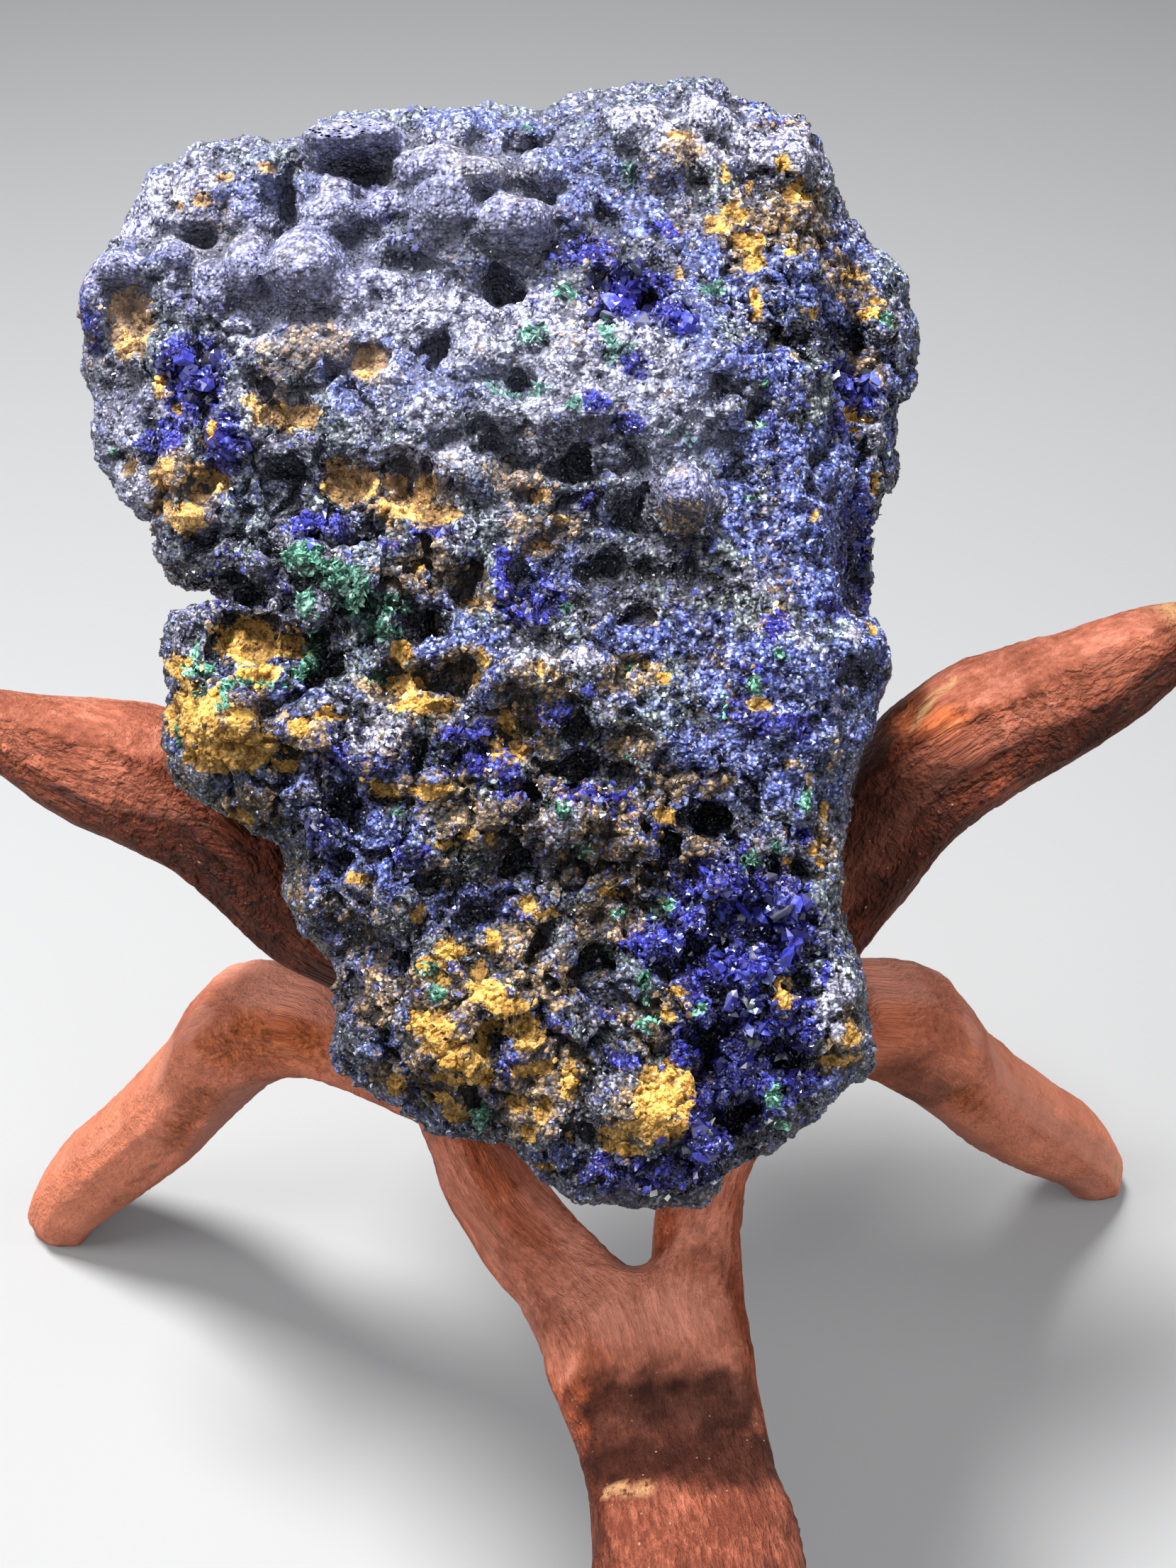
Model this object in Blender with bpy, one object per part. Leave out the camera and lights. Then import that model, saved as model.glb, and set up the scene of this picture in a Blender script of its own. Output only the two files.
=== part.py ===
"""An azurite and malachite specimen leaning in a carved wooden stand.

The stand is three interlocked members. The left and right members cross as an X, and both pass
through the eye of the front member. The specimen is one lump of ore that lies on their arms.
Everything is in metres, +Z up, with the stand's feet on Z = 0.
"""

import math
import random

import bpy
import bmesh
import numpy as np
from mathutils import Matrix, Vector, noise

MM = 0.001

# Driving sizes, in millimetres
FOOT_SINK = 4.0            # how far a foot runs on below the ground before it is cut flat
MEMBER_GAP = 0.4           # clearance where the members pass each other
REST_GAP = 0.3             # clearance between the ore and the wood that it rests on
ROCK_CENTRE = (-3.6, 19.4, 164.1)
ROCK_LEAN_DEG = 45.0       # the face is tipped back this far from upright
FRONT_BULGE = 11.0         # the face stands this far in front of the outline
BACK_BULGE = 30.0          # and the back this far behind it
HEEL = 7.0                 # how much deeper the lower end is, where it sits on the crossing
SIDE_STEP = 12.0           # how far the right flank is set back behind the face
ROCK_TRIANGLES = 4200

# Noise
COARSE_MM = 15.0
MIDDLE_MM = 6.0
SEED = 11


def clear_scene():
    for obj in list(bpy.data.objects):
        bpy.data.objects.remove(obj)


def material(name, colour, roughness, metallic=0.0):
    made = bpy.data.materials.new(name)
    made.use_nodes = True
    shader = made.node_tree.nodes["Principled BSDF"]
    shader.inputs["Base Color"].default_value = (*colour, 1.0)
    shader.inputs["Roughness"].default_value = roughness
    shader.inputs["Metallic"].default_value = metallic
    return made


def new_object(name, mesh, finish=None):
    obj = bpy.data.objects.new(name, mesh)
    bpy.context.scene.collection.objects.link(obj)
    if finish:
        mesh.materials.clear()
        mesh.materials.append(finish)
    return obj


def as_helper(obj):
    obj.hide_render = True
    obj.display_type = "WIRE"
    return obj


def evaluated_mesh(obj):
    """The object's mesh with its modifiers worked in."""
    graph = bpy.context.evaluated_depsgraph_get()
    return bpy.data.meshes.new_from_object(obj.evaluated_get(graph))


def settle(obj):
    """Works the modifiers into the object's own mesh."""
    mesh = evaluated_mesh(obj)
    obj.modifiers.clear()
    obj.data = mesh
    return obj


def points_of(mesh):
    points = np.empty(len(mesh.vertices) * 3)
    mesh.vertices.foreach_get("co", points)
    return points.reshape(-1, 3)


def normals_of(mesh):
    normals = np.empty(len(mesh.vertices) * 3)
    mesh.vertices.foreach_get("normal", normals)
    return normals.reshape(-1, 3)


def set_points(mesh, points):
    mesh.vertices.foreach_set("co", np.ascontiguousarray(points, np.float64).ravel())
    mesh.update()


# The wooden stand. A station is the centre x, y, z of a section, its width and its depth.
SECTION_POINTS = 12
SECTION_POWER = 0.62       # below 1 the section is a rounded square, as it was carved
RINGS_PER_SPAN = 2

LEFT_MEMBER = [            # left foot, knee, crossing, right arm
    (-110.0, 59.5, -FOOT_SINK, 8.0, 8.0),
    (-108.0, 59.5, 2.0, 13.5, 12.5),
    (-104.0, 59.5, 11.0, 16.5, 14.5),
    (-94.5, 57.5, 25.0, 18.5, 16.0),
    (-79.5, 52.0, 47.5, 19.0, 16.5),
    (-67.5, 46.0, 69.0, 18.0, 16.0),
    (-56.0, 39.0, 91.5, 19.5, 18.0),
    (-43.0, 32.0, 101.5, 16.5, 15.0),
    (-28.0, 24.5, 100.0, 14.0, 14.0),
    (-12.0, 16.5, 103.5, 14.0, 14.0),
    (0.0, 14.5, 111.5, 14.0, 14.0),
    (12.0, 17.5, 120.5, 15.0, 14.5),
    (24.0, 27.0, 127.0, 18.0, 15.5),
    (32.0, 34.0, 134.5, 19.5, 16.0),
    (37.5, 38.0, 144.0, 20.0, 16.5),
    (45.0, 40.5, 151.0, 20.5, 16.5),
    (54.0, 42.5, 154.5, 18.5, 15.5),
    (64.0, 45.5, 159.0, 14.0, 13.0),
    (71.5, 48.0, 162.5, 9.5, 9.5),
    (76.0, 49.5, 164.5, 5.0, 5.5),
]
RIGHT_MEMBER = [           # right foot, knee, crossing, left arm
    (100.5, 69.5, -FOOT_SINK, 7.5, 8.0),
    (99.0, 69.0, 2.0, 12.5, 11.5),
    (95.0, 68.0, 11.0, 15.0, 13.5),
    (84.5, 63.0, 27.0, 17.5, 16.0),
    (70.5, 55.5, 47.5, 18.5, 17.0),
    (58.0, 46.0, 69.0, 17.5, 16.0),
    (46.5, 38.5, 91.5, 19.5, 18.0),
    (36.0, 34.5, 101.0, 17.5, 16.0),
    (24.0, 31.5, 97.5, 14.5, 14.0),
    (12.0, 30.5, 103.0, 14.0, 14.0),
    (0.0, 30.5, 112.0, 14.0, 14.0),
    (-12.0, 30.5, 120.5, 15.0, 14.5),
    (-24.0, 30.0, 125.5, 18.0, 15.5),
    (-36.0, 29.5, 128.0, 19.0, 16.5),
    (-44.5, 32.0, 134.0, 18.5, 16.5),
    (-51.0, 35.5, 141.0, 19.0, 17.0),
    (-59.5, 38.5, 146.0, 19.5, 17.0),
    (-69.0, 40.0, 148.0, 16.5, 15.0),
    (-77.0, 42.0, 150.0, 11.5, 11.5),
    (-84.0, 44.0, 152.0, 8.0, 8.0),
    (-88.0, 45.5, 153.0, 4.5, 5.0),
]
FRONT_LEG = [              # front foot up to the crotch of the eye
    (14.0, -103.5, -FOOT_SINK, 9.0, 8.0),
    (14.0, -101.5, 2.0, 14.0, 12.0),
    (14.0, -97.0, 12.0, 18.0, 15.0),
    (13.5, -88.0, 30.0, 21.0, 16.5),
    (13.0, -78.0, 52.0, 22.0, 16.5),
    (12.0, -67.0, 73.0, 22.5, 16.5),
    (10.5, -55.0, 90.0, 27.0, 18.0),
    (9.6, -44.0, 95.5, 27.5, 17.0),
    (8.0, -33.0, 94.0, 25.5, 14.0),
    (6.6, -24.0, 94.0, 26.5, 14.0),
    (4.6, -16.0, 95.5, 29.0, 14.5),
    (2.4, -8.0, 96.0, 31.0, 14.0),
]
LEFT_PRONG = [
    (-1.0, -14.0, 95.5, 17.0, 13.5),
    (-8.5, -5.0, 96.5, 14.5, 13.5),
    (-15.0, 3.5, 99.0, 13.5, 13.0),
    (-21.5, 13.0, 104.5, 12.5, 12.0),
    (-27.0, 26.0, 110.0, 11.5, 11.5),
    (-25.0, 40.0, 114.0, 12.0, 11.5),
    (-15.0, 51.0, 118.0, 14.0, 12.5),
    (-2.0, 56.0, 123.0, 16.0, 13.5),
]
RIGHT_PRONG = [
    (10.0, -14.0, 95.5, 17.0, 13.5),
    (11.4, -3.0, 97.0, 13.5, 13.5),
    (12.0, 7.0, 100.5, 12.5, 13.0),
    (17.0, 16.0, 104.5, 12.0, 12.0),
    (23.5, 27.0, 110.0, 11.5, 11.5),
    (22.5, 40.0, 114.0, 12.0, 11.5),
    (13.0, 51.0, 118.0, 14.0, 12.5),
    (0.0, 56.0, 123.0, 16.0, 13.5),
]
BACK_ARM = [
    (-1.0, 55.0, 121.5, 18.0, 14.0),
    (-1.5, 60.0, 134.0, 19.0, 15.0),
    (-2.0, 65.0, 150.0, 20.0, 16.5),
    (-2.5, 72.5, 164.0, 20.0, 17.0),
    (-3.0, 82.0, 174.0, 18.5, 15.0),
    (-3.5, 91.0, 180.0, 14.0, 12.0),
    (-3.5, 96.5, 183.5, 9.0, 8.5),
    (-3.5, 99.0, 185.0, 5.0, 5.0),
]
FRONT_SIDE = (1.0, 0.0, 0.0)
LEFT_SIDE = (0.25, 0.97, 0.0)
RIGHT_SIDE = (-0.25, 0.97, 0.0)
FORK_VOXEL = 1.4
FRONT_TRIANGLES = 900
# The sharp crotch between the prongs, in plan, and how far up and down it is cut
CROTCH = [(4.7, -6.2), (5.4, 6.0), (1.0, 10.0), (-8.0, 5.0)]
CROTCH_SPAN = (70.0, 125.0)


def smooth_stations(stations, per_span=RINGS_PER_SPAN):
    """Catmull-Rom through the stations, sizes included."""
    rows = np.array(stations, float)
    ends = np.vstack([2 * rows[0] - rows[1], rows, 2 * rows[-1] - rows[-2]])
    made = []
    for i in range(1, len(ends) - 2):
        a, b, c, d = ends[i - 1 : i + 3]
        for step in range(per_span):
            t = step / per_span
            made.append(
                0.5 * (2 * b + (c - a) * t + (2 * a - 5 * b + 4 * c - d) * t**2
                       + (3 * b - a - 3 * c + d) * t**3)
            )
    made.append(rows[-1])
    return np.array(made)


def section(width, depth):
    """A carved section: a rounded rectangle, as (across, up) pairs."""
    ring = []
    for k in range(SECTION_POINTS):
        angle = 2 * math.pi * (k + 0.5) / SECTION_POINTS
        across = math.copysign(abs(math.cos(angle)) ** SECTION_POWER, math.cos(angle))
        up = math.copysign(abs(math.sin(angle)) ** SECTION_POWER, math.sin(angle))
        ring.append((across * width / 2, up * depth / 2))
    return ring


def swept_into(bm, stations, side):
    """Adds a closed limb that runs through the stations."""
    rows = smooth_stations(stations)
    centres = rows[:, :3]
    tangents = np.gradient(centres, axis=0)
    rings = []
    for centre, tangent, (width, depth) in zip(centres, tangents, rows[:, 3:]):
        along = Vector(tangent).normalized()
        across = Vector(side)
        across = (across - across.dot(along) * along).normalized()
        up = along.cross(across)
        rings.append([
            bm.verts.new((Vector(centre) + across * a + up * b) * MM)
            for a, b in section(width, depth)
        ])
    for lower, upper in zip(rings, rings[1:]):
        for k in range(SECTION_POINTS):
            n = (k + 1) % SECTION_POINTS
            bm.faces.new((lower[k], lower[n], upper[n], upper[k]))
    bm.faces.new(list(reversed(rings[0])))
    bm.faces.new(rings[-1])


def cut_at_ground(bm):
    """Leaves each foot a flat sole on Z = 0."""
    cut = bmesh.ops.bisect_plane(
        bm, geom=bm.verts[:] + bm.edges[:] + bm.faces[:], plane_co=(0, 0, 0),
        plane_no=(0, 0, -1), clear_outer=True,
    )
    edges = [e for e in cut["geom_cut"] if isinstance(e, bmesh.types.BMEdge)]
    bmesh.ops.holes_fill(bm, edges=edges, sides=0)


def mesh_from(bm, name):
    bmesh.ops.recalc_face_normals(bm, faces=bm.faces[:])
    mesh = bpy.data.meshes.new(name)
    bm.to_mesh(mesh)
    bm.free()
    return mesh


def crossing_member(name, stations, side, finish):
    bm = bmesh.new()
    swept_into(bm, stations, side)
    cut_at_ground(bm)
    return new_object(name, mesh_from(bm, name), finish)


def front_member(name, finish):
    """The leg, the eye's two prongs and the back arm, carved as one: their crotches are blended."""
    bm = bmesh.new()
    for stations in (FRONT_LEG, LEFT_PRONG, RIGHT_PRONG, BACK_ARM):
        swept_into(bm, stations, FRONT_SIDE)
    obj = new_object(name, mesh_from(bm, name), finish)
    remesh = obj.modifiers.new("Blend", "REMESH")
    remesh.mode = "VOXEL"
    remesh.voxel_size = FORK_VOXEL * MM
    soften = obj.modifiers.new("Soften", "SMOOTH")
    soften.iterations = 5
    settle(obj)
    thin_out(obj, FRONT_TRIANGLES)
    cut_by(obj, [prism("crotch", CROTCH, *CROTCH_SPAN)])
    bm = bmesh.new()
    bm.from_mesh(obj.data)
    cut_at_ground(bm)
    obj.data = mesh_from(bm, name)
    obj.data.materials.append(finish)
    return obj


def prism(name, plan, bottom, top):
    """An upright cutter with the given plan."""
    bm = bmesh.new()
    low = [bm.verts.new((x * MM, y * MM, bottom * MM)) for x, y in plan]
    high = [bm.verts.new((x * MM, y * MM, top * MM)) for x, y in plan]
    for k in range(len(plan)):
        n = (k + 1) % len(plan)
        bm.faces.new((low[k], low[n], high[n], high[k]))
    bm.faces.new(list(reversed(low)))
    bm.faces.new(high)
    return as_helper(new_object(name, mesh_from(bm, name)))


def grown(obj, amount):
    """A helper copy, every face moved out by amount millimetres."""
    copy = as_helper(new_object(obj.name + "_grown", obj.data.copy()))
    mesh = copy.data
    set_points(mesh, points_of(mesh) + normals_of(mesh) * amount * MM)
    return copy


def cut_by(obj, cutters):
    for cutter in cutters:
        boolean = obj.modifiers.new("Clear " + cutter.name, "BOOLEAN")
        boolean.operation = "DIFFERENCE"
        boolean.object = cutter
    settle(obj)
    for cutter in cutters:
        bpy.data.objects.remove(cutter)


def shade(obj, degrees=32.0):
    obj.data.shade_smooth()
    obj.data.set_sharp_from_angle(angle=math.radians(degrees))


# The ore. u runs to the right across its face, v up the face, w straight out of it.
OUTLINE = [
    (14.0, 83.0), (19.0, 81.5), (26.5, 79.0), (30.5, 75.5), (32.0, 72.0), (35.5, 68.0),
    (40.0, 62.5), (41.0, 57.5), (40.5, 50.5), (38.0, 45.5), (38.5, 40.0), (37.0, 36.0),
    (35.5, 30.0), (34.5, 20.0), (34.5, 15.5), (33.0, 11.0), (32.0, 5.5), (30.5, 0.0),
    (29.5, -9.0), (30.5, -17.5), (33.0, -24.5), (33.0, -32.0), (30.5, -34.5), (26.5, -38.5),
    (24.0, -40.0), (21.0, -43.0), (17.5, -43.5), (13.0, -48.0), (7.0, -48.0), (-1.0, -48.5),
    (-4.5, -46.5), (-7.0, -43.5), (-12.0, -41.5), (-17.5, -41.0), (-21.0, -39.0),
    (-24.5, -36.0), (-29.0, -33.0), (-30.5, -26.5), (-30.0, -21.5), (-32.5, -19.0),
    (-35.5, -13.0), (-36.5, -8.0), (-41.0, -5.5), (-47.0, -1.0), (-48.5, 4.0), (-48.5, 11.0),
    (-49.5, 15.5), (-48.5, 20.0), (-41.5, 21.0), (-42.0, 22.5), (-50.5, 24.0), (-50.5, 28.0),
    (-54.5, 34.5),
    (-57.0, 39.0), (-56.5, 44.5), (-58.0, 50.0), (-58.5, 55.5), (-56.5, 60.0), (-53.0, 64.5),
    (-50.0, 69.0), (-45.5, 73.0), (-39.0, 74.5), (-33.0, 74.0), (-32.0, 75.5), (-27.0, 76.0),
    (-22.5, 77.0), (-20.0, 78.5), (-13.5, 79.0), (-6.5, 78.5), (-2.5, 79.5), (4.0, 81.0),
    (8.0, 81.0), (10.5, 82.0),
]
SPINE = (-6.0, 16.0)       # the outline is scaled towards here to make the pillow
PILLOW_RINGS = 12
PILLOW_POWER = 3.4
ROCK_VOXEL = 1.1

# Broad swells and dips of the face: u, v, half width, half height, how far they rise
SWELLS = [
    (6.0, 46.0, 17.0, 11.0, 3.0), (0.0, 25.0, 13.0, 9.0, -3.0), (-39.0, 7.0, 11.0, 10.0, 2.5), (19.0, 9.0, 13.0, 14.0, 2.5),
    (-4.0, -12.0, 17.0, 10.0, -3.0), (-14.0, -28.0, 12.0, 10.0, 3.0), (7.0, -36.0, 9.0, 8.0, 2.5), (-33.0, 61.0, 13.0, 7.0, -2.5),
    (-14.0, 64.0, 9.0, 8.0, 1.5), (-27.0, 72.0, 9.0, 4.0, 1.5), (12.0, 72.0, 12.0, 8.0, 1.5), (-30.0, 32.0, 12.0, 6.0, -1.5),
    (-26.0, -20.0, 8.0, 10.0, -2.0),
]
# Rounded lumps on the face: u, v, half width, half height, how far they stand out
LUMPS = [
    (-37.6, 57.5, 2.9, 4.4, 3.4), (-31.0, 57.0, 4.6, 4.6, 4.4), (-28.0, 53.8, 4.4, 2.3, 2.2), (-28.5, 62.8, 3.9, 2.4, 2.8),
    (-29.0, 66.0, 4.4, 1.6, 1.6), (-42.0, 67.5, 3.0, 2.6, 2.2), (-55.3, 53.0, 1.8, 5.0, 2.6), (-52.0, 57.3, 3.6, 2.2, 2.8),
    (-30.0, 48.4, 6.4, 2.4, 2.2), (-15.5, 73.5, 3.6, 2.0, 2.4), (4.0, 74.6, 3.6, 2.4, 2.6), (-17.0, 68.6, 4.2, 2.9, 3.6),
    (-12.5, 66.8, 4.2, 2.5, 3.4), (-16.0, 63.0, 4.2, 4.0, 3.4), (-8.0, 61.6, 4.3, 3.2, 3.8), (-13.2, 58.4, 3.2, 2.6, 2.0),
    (14.0, 76.2, 4.0, 2.8, 3.4), (22.5, 72.2, 3.6, 2.6, 1.8), (26.0, 66.0, 3.2, 2.8, 1.8), (30.6, 62.0, 3.4, 3.2, 2.2),
    (-44.2, 46.4, 2.4, 4.2, 2.2), (-30.6, 24.2, 3.4, 2.3, 4.2), (-13.0, 47.0, 3.6, 3.5, 2.2), (-8.5, 40.6, 4.4, 2.0, 2.4),
    (-1.0, 40.0, 4.8, 2.2, 2.4), (-17.0, 40.6, 3.6, 3.5, 2.4), (10.4, 31.2, 3.9, 4.4, 3.8), (-13.0, 34.4, 2.9, 3.6, 2.2),
    (-20.0, 36.6, 4.0, 2.0, 1.6), (-6.5, 29.0, 4.6, 1.7, 1.8), (-14.2, 26.4, 3.5, 2.8, 2.2), (-1.0, 22.4, 3.7, 1.9, 1.8),
    (4.2, 20.6, 3.8, 1.8, 1.6), (6.2, 26.4, 3.6, 2.6, 1.6), (0.0, 17.6, 3.6, 2.0, 1.6), (12.2, 19.0, 3.8, 2.6, 1.6),
    (17.4, 22.2, 3.2, 3.2, 1.4), (20.4, 17.0, 3.2, 2.6, 1.4), (-6.2, 12.0, 4.4, 3.6, 4.2), (-0.4, 12.3, 3.9, 3.0, 3.4),
    (2.6, 8.0, 3.3, 2.4, 3.4), (7.6, 11.2, 3.2, 2.4, 1.8), (-22.0, 5.0, 4.5, 4.6, 3.4), (-18.0, 8.6, 4.2, 1.6, 1.5),
    (-40.0, 7.0, 6.0, 3.8, 2.4), (-42.0, 2.4, 4.2, 2.6, 2.0), (-34.6, 5.2, 3.9, 3.1, 2.0), (-44.6, 14.4, 1.9, 3.9, 2.4),
    (-36.6, 10.8, 5.0, 1.1, 1.6), (-38.0, -3.0, 3.8, 2.4, 1.8), (-24.5, -15.6, 3.1, 2.8, 1.8), (-5.8, -5.6, 3.1, 3.1, 2.8),
    (-1.6, -5.0, 3.5, 3.6, 4.2), (19.0, 7.0, 4.8, 2.5, 1.6), (22.0, -0.5, 3.8, 3.2, 1.4), (19.5, -7.5, 4.2, 2.4, 2.4),
    (24.0, 13.6, 3.2, 4.0, 1.6), (29.6, 15.6, 3.4, 3.4, 4.2), (18.5, 12.4, 3.2, 2.7, 1.4), (27.8, -25.0, 3.7, 7.4, 2.4),
    (27.0, -16.0, 2.5, 3.4, 1.8), (-10.6, -22.3, 3.4, 2.8, 3.0), (-16.5, -26.0, 3.7, 2.8, 2.8), (-14.6, -31.0, 4.3, 3.2, 3.4),
    (6.0, -36.0, 5.8, 5.8, 4.8), (10.6, -31.0, 2.3, 3.4, 3.4), (8.0, -42.6, 4.2, 2.6, 3.0), (2.0, -42.5, 3.4, 2.2, 2.4),
    (12.6, -38.0, 2.4, 4.8, 3.4), (-26.0, -28.0, 2.8, 4.8, 2.2), (-23.4, -22.6, 2.9, 2.8, 1.7), (33.6, 41.6, 2.6, 4.4, 2.4),
    (31.5, 48.4, 3.6, 2.8, 2.0),
]
RIM = 0.7                  # a hollow's sides slope over this much beyond its size
HOLLOW_SHARE = 0.7         # how much of its depth a hollow has where crust lines it
# Hollows in the face: u, v, half width, half height, depth
HOLLOWS = [
    (-43.5, 60.8, 1.8, 1.2, 4.0), (-33.4, 65.0, 0.9, 2.0, 4.5), (-24.6, 68.2, 3.4, 0.8, 5.5), (-51.4, 51.2, 2.2, 3.4, 2.8),
    (-9.5, 54.6, 2.2, 1.4, 6.0), (-7.0, 70.7, 1.7, 0.8, 3.0), (-19.6, 58.2, 2.6, 0.6, 2.4), (12.0, 67.5, 0.6, 2.0, 2.6),
    (30.2, 53.4, 2.6, 1.0, 4.0), (36.0, 51.6, 1.4, 1.4, 3.5), (-33.2, 41.9, 4.2, 2.0, 3.6), (-41.0, 33.2, 1.2, 1.0, 2.6),
    (-33.5, 33.0, 1.8, 3.0, 3.4), (-26.6, 33.6, 2.2, 2.0, 2.4), (-27.6, 26.7, 2.6, 0.5, 6.5), (-23.8, 27.6, 2.1, 1.0, 5.0),
    (-17.5, 47.5, 1.4, 1.3, 4.0), (-24.0, 46.6, 1.5, 1.2, 2.4), (-7.0, 44.6, 1.7, 0.9, 4.5), (-2.5, 35.5, 3.4, 1.2, 5.0),
    (-7.6, 36.0, 1.6, 1.0, 2.6), (-10.5, 37.0, 1.1, 1.8, 2.4), (-18.5, 31.8, 4.2, 1.6, 2.2), (-17.5, 24.4, 1.8, 1.6, 3.8),
    (-13.0, 22.2, 1.6, 2.4, 3.8), (-18.5, 18.0, 2.2, 1.0, 4.0), (-7.0, 21.7, 1.1, 1.2, 3.0), (2.0, 24.2, 2.6, 0.6, 3.0),
    (7.3, 23.3, 1.5, 0.8, 3.0), (4.6, 18.2, 2.0, 0.6, 2.6), (15.0, 43.3, 1.7, 0.8, 3.6), (23.5, 50.0, 1.8, 1.3, 4.6),
    (24.7, 47.0, 0.7, 1.8, 3.6), (-38.0, 16.2, 4.2, 2.2, 5.0), (-29.4, 14.6, 2.2, 3.6, 6.0), (-15.4, 11.6, 2.4, 2.2, 5.5),
    (-21.0, 11.6, 2.2, 1.3, 3.0), (-1.4, 6.2, 0.9, 1.4, 2.6), (-2.0, 1.2, 3.6, 0.8, 5.5), (-6.5, -1.6, 1.1, 2.2, 4.4),
    (6.0, -4.7, 1.5, 1.2, 5.5), (13.4, -3.8, 2.6, 1.2, 6.0), (-26.4, -3.0, 1.4, 2.0, 5.0), (-16.4, -10.8, 1.3, 1.0, 3.2),
    (-12.0, -15.2, 1.7, 0.8, 2.6), (-8.5, -9.2, 1.0, 1.5, 3.6), (0.6, -20.4, 1.8, 2.2, 5.5), (13.4, -18.0, 2.2, 0.8, 4.0),
    (18.6, -14.8, 2.8, 0.6, 5.0), (23.8, -10.6, 0.9, 1.4, 3.6), (14.8, -29.4, 1.6, 3.6, 7.0), (16.6, -37.0, 2.2, 1.8, 5.0),
    (21.4, -30.9, 1.8, 1.2, 4.6), (18.6, -30.0, 1.4, 1.4, 3.6), (-9.8, -28.8, 0.8, 1.6, 4.4), (-40.5, 22.0, 5.0, 0.7, 5.0),
]


def fractal(points, size, octaves):
    """Fractal noise at each point, one feature being about size millimetres."""
    return np.array([
        noise.fractal(Vector(p) / size, 0.9, 2.1, octaves, noise_basis="PERLIN_ORIGINAL")
        for p in points
    ])


def smooth_step(x):
    x = np.clip(x, 0.0, 1.0)
    return x * x * (3 - 2 * x)


def pillow(name):
    """The block before it is worked: the outline, closed in front and behind."""
    bm = bmesh.new()
    spine = np.array(SPINE)
    outline = np.array(OUTLINE)
    sides = {}
    for sign, bulge in ((1, FRONT_BULGE), (-1, BACK_BULGE)):
        rings = []
        for step in range(PILLOW_RINGS):
            share = math.cos(0.5 * math.pi * step / PILLOW_RINGS)
            height = sign * bulge * (1 - share**PILLOW_POWER) ** (1 / PILLOW_POWER)
            if step == 0:
                ring = sides.get("rim") or [bm.verts.new((*p, 0.0)) for p in outline]
                sides["rim"] = ring
            else:
                ring = [bm.verts.new((*(spine + (p - spine) * share), height)) for p in outline]
            rings.append(ring)
        for low, high in zip(rings, rings[1:]):
            for k in range(len(outline)):
                n = (k + 1) % len(outline)
                bm.faces.new((low[k], low[n], high[n], high[k]))
        bm.faces.new(rings[-1])
    obj = new_object(name, mesh_from(bm, name))
    return even_out(obj)


def even_out(obj):
    """Builds the surface anew with even facets, and opens any fold."""
    remesh = obj.modifiers.new("Even", "REMESH")
    remesh.mode = "VOXEL"
    remesh.voxel_size = ROCK_VOXEL
    return settle(obj)


def shape_block(points):
    """The top right falls back behind an edge that runs down the face, and the heel is deeper."""
    u, v, w = points.T
    behind = smooth_step((u - 24.0) / 9.0) * smooth_step((v - 12.0) / 12.0)
    fall = 0.18 * np.clip(u + v - 62.0, 0.0, 60.0)
    moved = points.copy()
    moved[:, 2] -= (SIDE_STEP * behind + fall) * smooth_step((w + 16.0) / 18.0)
    moved[:, 2] -= HEEL * smooth_step((-v - 4.0) / 30.0) * smooth_step((-w - 4.0) / 20.0)
    return moved


def relief(points):
    """How far each point of the face stands out for the lumps and swells, less the hollows."""
    u, v = points[:, 0], points[:, 1]
    out = np.zeros(len(points))
    for cu, cv, wide, tall, height in LUMPS:
        reach = ((u - cu) / wide) ** 2 + ((v - cv) / tall) ** 2
        out = np.maximum(out, height * np.sqrt(np.clip(1 - reach, 0, 1)))
    for cu, cv, wide, tall, height in SWELLS:
        out += height * smooth_step(1.3 - 1.3 * np.hypot((u - cu) / wide, (v - cv) / tall))
    for cu, cv, wide, tall, depth in HOLLOWS:
        reach = ((u - cu) / (wide + RIM)) ** 2 + ((v - cv) / (tall + RIM)) ** 2
        out -= HOLLOW_SHARE * depth * smooth_step(1.5 - 1.5 * reach)
    return out


def work_surface(obj):
    """Turns the smooth block into rough ore."""
    mesh = obj.data
    points = shape_block(points_of(mesh))
    set_points(mesh, points)
    normals = normals_of(mesh)
    facing = smooth_step((normals[:, 2] - 0.05) / 0.6)
    coarse = fractal(points, COARSE_MM, 3)
    middle = fractal(points + 40.0, MIDDLE_MM, 3)
    ragged = np.abs(fractal(points - 70.0, 2 * MIDDLE_MM, 2))
    moved = points + normals * (1.5 * coarse + 0.5 * middle - 1.3 * ragged)[:, None]
    moved[:, 2] += relief(points) * facing
    set_points(mesh, moved)
    even_out(obj)


def thin_out(obj, triangles):
    thin = obj.modifiers.new("Facets", "DECIMATE")
    thin.ratio = triangles / (2 * len(obj.data.polygons))
    settle(obj)


# Azurite crystals that stand on the ledges and in the hollow: u, v, reach, how many
CRYSTAL_BEDS = [
    (16.0, -12.5, 6.5, 12), (19.5, -21.5, 6.0, 12), (14.5, -30.0, 6.5, 11), (5.0, -42.0, 7.0, 8),
    (4.0, 54.0, 5.0, 9), (-44.5, 45.0, 5.0, 6), (-11.0, 3.0, 5.0, 5),
]
CRYSTAL_SIDES = 4


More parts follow.
